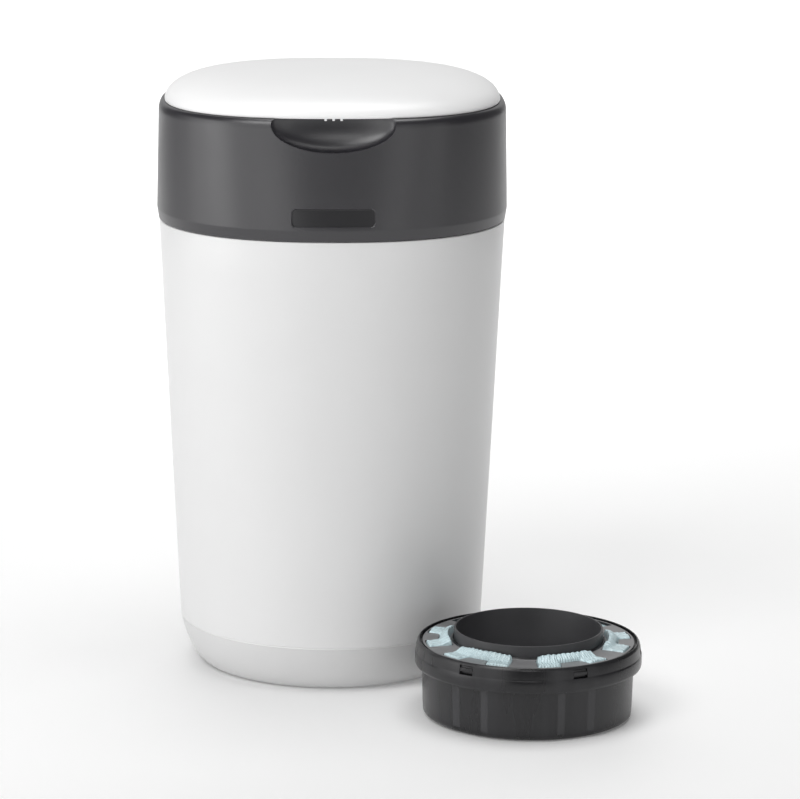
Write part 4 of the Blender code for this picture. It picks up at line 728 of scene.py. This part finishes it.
def dress_hinges(white, charcoal):
    head_hinge = (HEAD_HINGE_AXIS, HEAD_HINGE_RADIUS)
    lid_hinge = (LID_HINGE_AXIS, LID_HINGE_RADIUS)
    for side, sign in (("left", -1.0), ("right", 1.0)):
        span = sorted(sign * x for x in TUB_EARS)
        for piece in (web("tub_hinge_web_" + side, TUB_WEB, *span, white),
                      knuckle("tub_hinge_knuckle_" + side, *head_hinge, *span, white)):
            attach(piece, "tub")
    span = (-HEAD_KNUCKLE_HALF, HEAD_KNUCKLE_HALF)
    for piece in (web("head_hinge_web", HEAD_WEB, *span, charcoal),
                  knuckle("head_hinge_knuckle", *head_hinge, *span, charcoal)):
        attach(piece, "head")
    for side, sign in (("left", -1.0), ("right", 1.0)):
        span = sorted(sign * x for x in LID_EARS)
        for piece in (web("lid_hinge_ear_" + side, LID_EAR_WEB, *span, charcoal),
                      knuckle("lid_hinge_eye_" + side, *lid_hinge, *span, charcoal)):
            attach(piece, "head")
    span = (-LID_KNUCKLE_HALF, LID_KNUCKLE_HALF)
    for piece in (web("lid_hinge_web", LID_WEB, *span, white),
                  knuckle("lid_hinge_knuckle", *lid_hinge, *span, white)):
        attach(piece, "lid")


# Cassette, with heights above its own foot

LOADED_PLACE = Vector((0.0, 0.0, 345.0 * MM))
REFILL_PLACE = Vector((141.3 * MM, -155.8 * MM, 0.0))
REFILL_TWIST = -2.7
SEAT_GAP = 0.3 * MM

# Trough and core
CASSETTE_HEIGHT = 63.9 * MM
CASSETTE_FOOT_RADIUS = 68.8 * MM
CASSETTE_FOOT_ROUND = 5.0 * MM
CASSETTE_FOOT_STEPS = 8
CASSETTE_BASE_RADIUS = 76.3 * MM
CASSETTE_TOP_RADIUS = 77.3 * MM
CASSETTE_FLOOR = 2.2 * MM
CASSETTE_WALL = 1.6 * MM
CASSETTE_SHARP_ANGLE = 40.0
TROUGH_ROWS = (10.0 * MM, 18.0 * MM, 27.0 * MM)
CORE_RADIUS = 53.8 * MM
CORE_WALL = 1.6 * MM
CORE_FILLET = 1.0 * MM
CORE_MIDDLE = 40.0 * MM
CORE_STEP = 0.15 * MM
CORE_STEP_TOP = 44.0 * MM
CORE_STEP_SLOPE = 0.4 * MM
CORE_STEP_MIDDLE = 20.0 * MM
CORE_FOOT_ROUND = 0.4 * MM

# Flutes: six, with the share of their depth at angles off their centre, mirrored to the other side
FLUTES = 6
FLUTE_PITCH = 360.0 / FLUTES
FLUTE_PHASE = -3.5
FLUTE_DEPTH = 1.2 * MM
FLUTE_TOP = 35.2 * MM
FLUTE_EDGE = 0.6 * MM
FLUTE_END = 0.5 * MM
RAMP_START = 6.9
RAMP_END = 11.1
FLUTE_SHARES = ((0.0, 1.0), (3.0, 1.0), (5.8, 1.0), (6.5, 1.0), (RAMP_START, 0.98), (9.0, 0.5),
                (RAMP_END, 0.02), (11.5, 0.0), (12.2, 0.0), (14.5, 0.0), (18.0, 0.0), (22.0, 0.0),
                (26.0, 0.0), (FLUTE_PITCH / 2.0, 0.0))

# Cap
CAP_HEIGHT = 55.2 * MM
CAP_WALL = 1.6 * MM
CAP_FACETS = 180
CAP_ROUND = 0.2 * MM
CAP_SOFTEN_ANGLE = 40.0
PLATE_TOP = 54.4 * MM
PLATE_ROUND = 0.4 * MM
CHANNEL_INNER = 76.5 * MM
CHANNEL_OUTER = 78.3 * MM
CHANNEL_FLOOR = 52.2 * MM
CHANNEL_WALL = 1.2 * MM
CHANNEL_UNDER = CHANNEL_FLOOR - CHANNEL_WALL
RIM_WIDTH = 0.7 * MM
HUB_RISE = 1.5 * MM
HUB_WIDTH = 1.9 * MM
HUB_WALL = 1.0 * MM
HUB_ROUND = 0.3 * MM
HUB_FILLET = (0.3 * MM, 0.4 * MM)
SKIRT_RADIUS = 81.85 * MM
SKIRT_BOTTOM = 37.0 * MM
SKIRT_STEP = 45.8 * MM
SKIRT_STEP_DEPTH = 0.6 * MM
SKIRT_WALL = 1.8 * MM

# Rounded corners of the turned profiles, as (out, up) in mm from the corner
CORE_OUTER_LIP = ((0.0, -0.7), (-0.2, -0.2), (-0.6, 0.0))
CORE_INNER_LIP = ((0.6, 0.0), (0.15, -0.2), (0.0, -0.7))
RIM_SLOPE = ((0.0, 0.0), (0.5, -0.5), (1.3, -1.9), (1.45, -2.4))
SKIRT_STEP_CURVE = ((-0.6, 1.4), (-0.55, 0.9), (-0.25, 0.25), (0.0, -0.3))
SKIRT_FOOT_CURVE = ((0.0, 2.0), (-0.15, 1.2), (-0.7, 0.1), (-1.0, 0.0))

# Windows around inward tongues
WINDOW_INNER = 56.8 * MM
WINDOW_OUTER = 74.9 * MM
WINDOW_HALF_ANGLE = 22.0
WINDOW_CORNER = 0.8 * MM
WINDOW_CORNER_ANGLE = 0.8
WINDOW_EDGE_ANGLES = (0.6, 4.0, 8.0)
WINDOW_STEPS = 20
TONGUE_TIP = 65.0 * MM
TONGUE_HALF_ANGLE = 8.5
TONGUE_TIP_HALF_ANGLE = 6.8
TONGUE_TIP_MIDDLE = 2.0
# The tongue's rounded tip: how far out from the tip, and how far round from its corner
TONGUE_ROUND = ((1.6 * MM, 0.3), (0.5 * MM, -0.2), (0.0, -1.3))
WINDOW_CUT = 3.0 * MM

# Snap slots and hooks: size and middle, with x outward from the cassette's axis
SNAP_SLOT = ((7.1 * MM, 11.0 * MM, 6.8 * MM), (82.45 * MM, 0.0, 49.8 * MM))
HOOK_BARS = (((1.3 * MM, 10.4 * MM, 2.4 * MM), (80.05 * MM, 0.0, 49.9 * MM)),
             ((0.9 * MM, 10.4 * MM, 5.6 * MM), (79.05 * MM, 0.0, 49.8 * MM)))
HOOK_ROUND = 0.15 * MM


def polar(radius, degrees):
    return (radius * math.cos(math.radians(degrees)), radius * math.sin(math.radians(degrees)))


def flute_centres():
    return [FLUTE_PHASE - FLUTE_PITCH + FLUTE_PITCH * step for step in range(FLUTES)]


def off_centre(degrees):
    """Signed angle from the nearest flute's centre, which is also a window's centre."""
    turns = [(degrees - centre + 180.0) % 360.0 - 180.0 for centre in flute_centres()]
    return min(turns, key=abs)


def around_corner(radius, height, offsets):
    return [(radius + out * MM, height + up * MM) for out, up in offsets]


def box_matrix(place, degrees, size, middle):
    """Makes a unit cube a box whose middle is turned about a cassette's axis."""
    return (Matrix.Translation(place) @ Matrix.Rotation(math.radians(degrees), 4, "Z")
            @ Matrix.Translation(middle) @ Matrix.Diagonal((*size, 1.0)))


def keyed_ring(radius, height, depth, place):
    """A ring around the trough that dips in at the flutes."""
    far_side = [(-degrees, share) for degrees, share in reversed(FLUTE_SHARES)]
    points = []
    for centre in flute_centres():
        for degrees, share in (*far_side, *FLUTE_SHARES[1:-1]):
            turn = math.radians(centre + degrees)
            reach = radius - depth * share
            points.append((place.x + reach * math.cos(turn), place.y + reach * math.sin(turn),
                           place.z + height))
    return points


def trough_profile():
    """Rows of (radius, height, flute depth), up the trough's outside and down its inside."""
    cap_seat = CHANNEL_UNDER - SEAT_GAP
    inside = CASSETTE_TOP_RADIUS - CASSETTE_WALL
    taper = CASSETTE_TOP_RADIUS - CASSETTE_BASE_RADIUS
    rows = []
    for step in range(CASSETTE_FOOT_STEPS + 1):
        turn = math.pi / 2.0 * step / CASSETTE_FOOT_STEPS
        rows.append((CASSETTE_FOOT_RADIUS + (CASSETTE_BASE_RADIUS - CASSETTE_FOOT_RADIUS) * math.sin(turn),
                     CASSETTE_FOOT_ROUND * (1.0 - math.cos(turn)), FLUTE_DEPTH * math.sin(turn) ** 4))
    for height in TROUGH_ROWS:
        rows.append((CASSETTE_BASE_RADIUS + taper * height / FLUTE_TOP, height, FLUTE_DEPTH))
    rows += [(CASSETTE_TOP_RADIUS, FLUTE_TOP - FLUTE_EDGE, FLUTE_DEPTH),
             (CASSETTE_TOP_RADIUS, FLUTE_TOP, 0.9 * FLUTE_DEPTH),
             (CASSETTE_TOP_RADIUS, SKIRT_BOTTOM - FLUTE_END, 0.1 * FLUTE_DEPTH),
             (CASSETTE_TOP_RADIUS, SKIRT_BOTTOM, 0.0), (CASSETTE_TOP_RADIUS - SEAT_GAP, cap_seat, 0.0),
             (inside, cap_seat, 0.0), (inside, SKIRT_BOTTOM, 0.0), (inside, FLUTE_TOP, FLUTE_DEPTH),
             (CASSETTE_BASE_RADIUS - CASSETTE_WALL, CASSETTE_FOOT_ROUND, FLUTE_DEPTH),
             (CASSETTE_FOOT_RADIUS, CASSETTE_FLOOR, 0.0), (CORE_RADIUS + CORE_FILLET, CASSETTE_FLOOR, 0.0),
             (CORE_RADIUS, CASSETTE_FLOOR + CORE_FILLET, 0.0)]
    return rows


def core_profile():
    """Rows of (radius, height, flute depth), over the core's rim and down its bore."""
    bore = CORE_RADIUS - CORE_WALL
    narrow = bore - CORE_STEP
    points = [(CORE_RADIUS, CORE_MIDDLE)]
    points += around_corner(CORE_RADIUS, CASSETTE_HEIGHT, CORE_OUTER_LIP)
    points += around_corner(bore, CASSETTE_HEIGHT, CORE_INNER_LIP)
    points += [(bore, CORE_STEP_TOP), (narrow, CORE_STEP_TOP - CORE_STEP_SLOPE), (narrow, CORE_STEP_MIDDLE),
               (bore, CORE_FOOT_ROUND), (bore + CORE_FOOT_ROUND, 0.0)]
    return [(radius, height, 0.0) for radius, height in points]


def cassette_body(prefix, place, paints, body):
    trough = trough_profile()
    core = core_profile()
    rings = [keyed_ring(radius, height, depth, place) for radius, height, depth in trough + core]
    # The core's rows take a lighter copy of the trough's paint: painted light.
    slots = [0] * len(trough) + [1] * (len(core) - 1) + [0]
    piece = loft(prefix + "_trough", rings, True, paints, slots, CASSETTE_SHARP_ANGLE)
    # Faces on the outside of the flutes' ramps take a lighter paint: a painted highlight.
    for face in piece.data.polygons:
        x, y, z = face.center - place
        on_ramp = RAMP_START < abs(off_centre(math.degrees(math.atan2(y, x)))) < RAMP_END
        outside = math.hypot(x, y) > CASSETTE_BASE_RADIUS - FLUTE_DEPTH
        if on_ramp and outside and CASSETTE_FOOT_ROUND < z < FLUTE_TOP:
            face.material_index = 2
    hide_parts(prefix + "_body")
    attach(piece, body)
    return piece


def window_outlines():
    """Six U-shaped windows around tongues that point inward."""
    wide = WINDOW_HALF_ANGLE
    side = [(WINDOW_INNER + WINDOW_CORNER, wide), (WINDOW_OUTER - WINDOW_CORNER, wide)]
    side += [(WINDOW_OUTER, wide - degrees) for degrees in WINDOW_EDGE_ANGLES]
    side.append((WINDOW_OUTER, TONGUE_HALF_ANGLE))
    side += [(TONGUE_TIP + out, TONGUE_TIP_HALF_ANGLE + degrees) for out, degrees in TONGUE_ROUND]
    side.append((TONGUE_TIP, TONGUE_TIP_MIDDLE))
    far_side = [(radius, -degrees) for radius, degrees in reversed(side)]
    inner = [(WINDOW_INNER, (wide - WINDOW_CORNER_ANGLE) * (2.0 * step / WINDOW_STEPS - 1.0))
             for step in range(WINDOW_STEPS + 1)]
    outline = far_side[-1:] + inner + side + far_side[:-1]
    return [[polar(radius, centre + degrees) for radius, degrees in outline] for centre in flute_centres()]


def window_tool(place):
    build = bmesh.new()
    low = place.z + PLATE_TOP - WINDOW_CUT
    for outline in window_outlines():
        points = [(place.x + x, place.y + y, low) for x, y in outline]
        extrude_outline(build, points, (0.0, 0.0, 2.0 * WINDOW_CUT))
    return keep("windows", build, ())


def slot_tool(place):
    build = bmesh.new()
    for centre in flute_centres():
        bmesh.ops.create_cube(build, size=1.0, matrix=box_matrix(place, centre, *SNAP_SLOT))
    return keep("slots", build, ())


def cap_profile():
    """Points (radius, height) of the cap, out over the hub, plate, channel, rim and skirt and back."""
    hub_in = CORE_RADIUS + SEAT_GAP
    hub_out = hub_in + HUB_WALL
    hub_top = PLATE_TOP + HUB_RISE
    hub = [(hub_in, hub_top - HUB_ROUND), (hub_in + HUB_ROUND, hub_top), (hub_out - HUB_ROUND, hub_top),
           (hub_out, hub_top - HUB_ROUND), (hub_out + HUB_FILLET[0], PLATE_TOP + HUB_FILLET[1]),
           (hub_in + HUB_WIDTH, PLATE_TOP)]
    channel = [(CHANNEL_INNER - PLATE_ROUND, PLATE_TOP), (CHANNEL_INNER, PLATE_TOP - PLATE_ROUND),
               (CHANNEL_INNER, CHANNEL_FLOOR), (CHANNEL_OUTER, CHANNEL_FLOOR),
               (CHANNEL_OUTER, CAP_HEIGHT - HUB_ROUND), (CHANNEL_OUTER + HUB_ROUND, CAP_HEIGHT)]
    outside = around_corner(CHANNEL_OUTER + RIM_WIDTH, CAP_HEIGHT, RIM_SLOPE)
    outside += around_corner(SKIRT_RADIUS, SKIRT_STEP, SKIRT_STEP_CURVE)
    outside += around_corner(SKIRT_RADIUS, SKIRT_BOTTOM, SKIRT_FOOT_CURVE)
    skirt_in = SKIRT_RADIUS - SKIRT_STEP_DEPTH - SKIRT_WALL
    channel_in = CHANNEL_INNER - CHANNEL_WALL
    under = [(skirt_in, SKIRT_BOTTOM), (skirt_in, CHANNEL_UNDER), (channel_in, CHANNEL_UNDER),
             (channel_in, PLATE_TOP - CAP_WALL), (hub_in, PLATE_TOP - CAP_WALL)]
    plate_rows = range(len(hub) - 2, len(hub) + 1)
    return hub + channel + outside + under, plate_rows


def cassette_cap(prefix, place, paints, body):
    profile, plate_rows = cap_profile()
    rings = []
    for radius, height in profile:
        ring = []
        for step in range(CAP_FACETS):
            turn = 2.0 * math.pi * step / CAP_FACETS
            ring.append((place.x + radius * math.cos(turn), place.y + radius * math.sin(turn),
                         place.z + height))
        rings.append(ring)
    # The plate's rows take the plate paint, which holds a painted reflection.
    slots = [1 if row in plate_rows else 0 for row in range(len(profile))]
    cap = loft(prefix + "_ring", rings, True, paints, slots)
    carve(cap, window_tool(place))
    carve(cap, slot_tool(place))
    soften(cap, CAP_ROUND, CAP_SOFTEN_ANGLE)
    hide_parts(prefix + "_cap")
    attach(cap, body)
    return cap


def cassette_hooks(prefix, place, paint, body):
    """The trough's snap hooks: a bar across each slot of the skirt."""
    hooks = []
    for number, centre in enumerate(flute_centres()):
        build = bmesh.new()
        for size, middle in HOOK_BARS:
            bmesh.ops.create_cube(build, size=1.0, matrix=box_matrix(place, centre, size, middle))
        hook = keep("%s_hook_%d" % (prefix, number + 1), build, [paint])
        soften(hook, HOOK_ROUND)
        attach(hook, body)
        hooks.append(hook)
    return hooks


# Film in the cassette

FILM_REST = 52.3 * MM
FILM_FACETS = 720
FILM_SHARP_ANGLE = 70.0
# Rows beside the core and beside the trough's wall, as (radius, height) in mm, and those between them
FILM_CORE_ROWS = ((54.7, 2.7), (54.7, 20.0), (54.7, 50.3), (55.6, 52.0))
FILM_WALL_ROWS = ((74.5, 49.3), (74.2, 38.0), (72.4, 34.0), (72.1, 20.0), (71.8, 6.2), (67.5, 2.7))
FILM_TOP_START = 56.4
FILM_TOP_PITCH = 0.45
FILM_TOP_ROWS = 43
# Pleats down the wall: their height in mm, their count, and where they end
WALL_PLEAT = 0.45
WALL_PLEATS = 90.0
WALL_PLEAT_TOP = 36.0
# Scales of the noise that shapes the film, per metre
COARSE_SCALE = 120.0
FOLD_SCALE = 230.0
FINE_SCALE = 700.0
WAVE_SCALE = 45.0
FOLD_SHIFT = Vector((3.1, 0.0, 0.0))
# What swells the film through the windows, in mm: its rest, the crown by the core, and each noise
SWELL_REST = 0.9
SWELL_CROWN = 3.9
SWELL_COARSE = 0.45
SWELL_FOLD = 0.3
SWELL_FINE = 0.12
SWELL_WAVE = 0.16
SWELL_LEAST = 0.3
# Waves across the film: their phase for each radian round the cassette, how far noise bends it, and how
# much each mm outward adds to it
WAVES = 96.0
WAVE_BEND = 3.0
WAVE_LEAN = 0.2
# How the swell starts inside a window's edge, in mm
EDGE_WANDER = 0.7
EDGE_START = 0.15
EDGE_WIDTH = 1.3
# The crown starts at the tongues' tips and climbs towards the core. It is lower at a window's sides
CROWN_START = TONGUE_TIP + 0.5 * MM
CROWN_WIDTH = 6.5 * MM
CROWN_POWER = 0.8
CROWN_DROP_SHARE = 0.5
# The film lies lower in the windows at the back: their middle, the share of the way round to it at which
# the drop starts, the share over which it grows, and its depth in mm
BACK_MIDDLE = 86.5
BACK_START_SHARE = 0.72
BACK_WIDTH_SHARE = 0.12
BACK_DROP = 5.5


def window_depth(radius, off):
    """How far inside a window a point of the film lies, in mm; negative under the plate."""
    off = abs(off)
    inside = min(radius * math.radians(WINDOW_HALF_ANGLE - off), radius - WINDOW_INNER,
                 WINDOW_OUTER - radius)
    climb = (radius - TONGUE_TIP) / (WINDOW_OUTER - TONGUE_TIP)
    tongue_half = TONGUE_TIP_HALF_ANGLE + (TONGUE_HALF_ANGLE - TONGUE_TIP_HALF_ANGLE) * climb
    beside = max(radius * math.radians(off - tongue_half), TONGUE_TIP - radius)
    return min(inside, beside) / MM


def film_height(radius, degrees, seed):
    """Crumpled film: flat under the plate, welling up through its windows and highest by the core."""
    off = off_centre(degrees)
    turn = math.radians(degrees)
    spot = Vector((radius * math.cos(turn), radius * math.sin(turn), seed))
    coarse = noise.noise(spot * COARSE_SCALE)
    folds = 1.0 - 2.0 * abs(noise.noise(spot * FOLD_SCALE + FOLD_SHIFT))
    fine = noise.noise(spot * FINE_SCALE)
    rise = smooth((window_depth(radius, off) + EDGE_WANDER * coarse - EDGE_START) / EDGE_WIDTH)
    near = min(max((CROWN_START - radius) / CROWN_WIDTH, 0.0), 1.0)
    crown = 1.0 - CROWN_DROP_SHARE * (abs(off) / WINDOW_HALF_ANGLE) ** 3
    bend = WAVE_BEND * noise.noise(spot * WAVE_SCALE)
    wave = math.sin(math.radians(off) * WAVES + bend + radius / MM * WAVE_LEAN)
    swell = SWELL_REST + SWELL_CROWN * smooth(near) ** CROWN_POWER * crown
    swell += SWELL_COARSE * coarse + SWELL_FOLD * folds * folds + SWELL_FINE * fine
    swell += SWELL_WAVE * wave * (0.5 + near)
    behind = 0.5 + 0.5 * math.cos(math.radians(degrees - BACK_MIDDLE))
    swell -= BACK_DROP * smooth((behind - BACK_START_SHARE) / BACK_WIDTH_SHARE)
    return FILM_REST + rise * max(PLATE_TOP - FILM_REST + swell * MM, SWELL_LEAST * MM)


def film_point(place, radius, degrees, height):
    """A point of the film about a cassette's axis."""
    return (*(Vector(polar(radius, degrees)) + place.xy), place.z + height)


def cassette_film(prefix, place, paint, body, seed):
    turns = [360.0 * step / FILM_FACETS for step in range(FILM_FACETS)]
    rings = []
    for radius, height in FILM_CORE_ROWS:
        rings.append([film_point(place, radius * MM, turn, height * MM) for turn in turns])
    for row in range(FILM_TOP_ROWS):
        radius = (FILM_TOP_START + FILM_TOP_PITCH * row) * MM
        rings.append([film_point(place, radius, turn, film_height(radius, turn, seed)) for turn in turns])
    for radius, height in FILM_WALL_ROWS:
        pleat = WALL_PLEAT if height < WALL_PLEAT_TOP else 0.0
        ring = []
        for turn in turns:
            reach = radius + pleat * math.sin(math.radians(turn) * WALL_PLEATS)
            ring.append(film_point(place, reach * MM, turn, height * MM))
        rings.append(ring)
    piece = loft(prefix + "_sleeve", rings, True, [paint], sharp=FILM_SHARP_ANGLE)
    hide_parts(prefix + "_film")
    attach(piece, body)
    return piece


def dress_cassette(prefix, place, paints, body, seed, twist=0.0):
    """Trough, cap, hooks and film, turned about their own axis by a twist."""
    paint, core_light_paint, ramp_highlight_paint, plate_reflection_paint = paints
    film = film_paint(prefix.split("_")[0] + " film", place)
    pieces = [cassette_body(prefix, place, (paint, core_light_paint, ramp_highlight_paint), body),
              cassette_cap(prefix, place, (paint, plate_reflection_paint), body),
              *cassette_hooks(prefix, place, paint, body),
              cassette_film(prefix, place, film, body, seed)]
    turn = (Matrix.Translation(place) @ Matrix.Rotation(math.radians(twist), 4, "Z")
            @ Matrix.Translation(-place))
    for piece in pieces:
        piece.data.transform(turn)


# Inner pieces

# How much of each piece's edges is rounded off, in mm
INNER_EDGES = {
    "head_hinge_pin": 0.4, "lid_hinge_pin": 0.4, "inner_deck": 0.4, "mechanism_housing": 0.4,
    "film_gripper": 0.3, "cutter_guide": 0.5, "housing_screw_1": 0.25, "housing_screw_2": 0.25,
    "housing_screw_3": 0.25, "housing_screw_4": 0.25, "lid_liner": 0.4, "lid_seal": 0.5, "plunger": 0.8,
    "cassette_holder": 0.4, "ratchet_ring": 0.25, "twist_dial": 0.4, "ratchet_pawl": 0.25,
    "cutter_carriage": 0.4, "cutter_knob": 0.6,
}
WELD_DISTANCE = 0.001 * MM
FLAT_ANGLE = 0.8


def dress_inner(paint_of):
    """Moulded copies of the inner pieces, with their sharp edges rounded off."""
    slot_of = {row["node"]: row["material_slot"] for row in frame["record"]["subparts"]}
    for body, nodes in frame["record"]["behaviour"]["bodies"].items():
        for node in nodes:
            if node not in INNER_EDGES:
                continue
            build = bmesh.new()
            build.from_mesh(frame["nodes"][node].data)
            bmesh.ops.remove_doubles(build, verts=build.verts, dist=WELD_DISTANCE)
            bmesh.ops.dissolve_limit(build, angle_limit=math.radians(FLAT_ANGLE), verts=build.verts,
                                     edges=build.edges, delimit=set())
            piece = keep(node + "_moulding", build, [paint_of[slot_of[node]]], sharp=180.0)
            edge = piece.modifiers.new("edge", "BEVEL")
            edge.width = INNER_EDGES[node] * MM
            edge.segments = SOFTEN_SEGMENTS
            edge.limit_method = "ANGLE"
            edge.angle_limit = math.radians(SHARP_ANGLE)
            even = piece.modifiers.new("even", "WEIGHTED_NORMAL")
            even.keep_sharp = True
            keep_modified(piece)
            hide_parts(node)
            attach(piece, body)


# Build

add_camera()
add_studio(add_floor())

white = plastic("white satin plastic", (0.76, 0.76, 0.76), 0.32, grain=700.0, depth=0.03, variation=0.010)
# The lid's white is lighter than the tub's same white plastic: painted light that brightens the lid's tone.
lid_lightened_white = plastic("white lid plastic with painted light", (0.88, 0.88, 0.88), 0.36, grain=700.0, depth=0.03, variation=0.010)
band = plastic("white brushed band", (0.69, 0.69, 0.69), 0.42, grain=300.0, depth=0.10, variation=0.02,
               stretch=(0.12, 0.12, 4.0))
inner_white = plastic("inner white plastic", (0.80, 0.80, 0.81), 0.45, grain=700.0, depth=0.04,
                      variation=0.02)
charcoal = plastic("charcoal satin plastic", (0.0150, 0.0140, 0.0180), 0.33, grain=1400.0, depth=0.10,
                   variation=0.05, specular=0.95)
plate_charcoal = plastic("smooth charcoal plastic", (0.0075, 0.0072, 0.0092), 0.30, grain=1400.0,
                         depth=0.03, variation=0.05, specular=0.6)
dark = plastic("dark plastic", (0.0150, 0.0148, 0.0165), 0.28, depth=0.08, variation=0.40, specular=0.46,
               flow=(4.0, 4.0, 0.5))
# A lighter, glossier copy of the dark plastic for the flutes' ramps: painted highlight.
ramp_painted_highlight = plastic("dark plastic with painted highlight", (0.034, 0.034, 0.037), 0.22, depth=0.03, variation=0.15)
# A lighter copy of the dark plastic for the core's rim and bore: painted light.
core_painted_light = plastic("dark core plastic with painted light", (0.040, 0.040, 0.043), 0.42, grain=700.0, depth=0.10,
                    variation=0.15)
# The cap's plate: the dark plastic made about ten times lighter, a painted reflection of the bright
# surroundings.
plate = plastic("dark plate plastic with painted reflection", (0.165, 0.165, 0.17), 0.30, depth=0.08, variation=0.12, specular=0.6)
grey = plastic("grey plastic", (0.17, 0.17, 0.18), 0.45, depth=0.08, variation=0.05)
rubber = plastic("soft grey rubber", (0.10, 0.10, 0.11), 0.75, grain=1500.0, depth=0.15, variation=0.08)
steel = plastic("bright steel", (0.62, 0.62, 0.64), 0.22, grain=400.0, variation=0.05, stretch=(1, 1, 8),
                metallic=1.0)
film = plastic("pale film", (0.62, 0.78, 0.82), 0.28, grain=500.0, depth=0.12, variation=0.06, coat=0.3)

paint_of = {
    "white_plastic": white, "inner_white": inner_white, "charcoal_plastic": charcoal,
    "grey_plastic": grey, "cassette_plastic": dark, "film": film, "rubber": rubber, "steel": steel,
}
for row in frame["record"]["subparts"]:
    mesh = frame["nodes"][row["node"]].data
    mesh.materials.clear()
    mesh.materials.append(paint_of[row["material_slot"]])

dress_tub(white, band)
dress_head(charcoal, plate_charcoal)
dress_lid(lid_lightened_white)
dress_hinges(white, charcoal)
dress_inner(paint_of)
cassette_paints = (dark, core_painted_light, ramp_painted_highlight, plate)
dress_cassette("refill", REFILL_PLACE, cassette_paints, "refill", 0.0, REFILL_TWIST)
dress_cassette("loaded_cassette", LOADED_PLACE, cassette_paints, "turntable", 5.0)
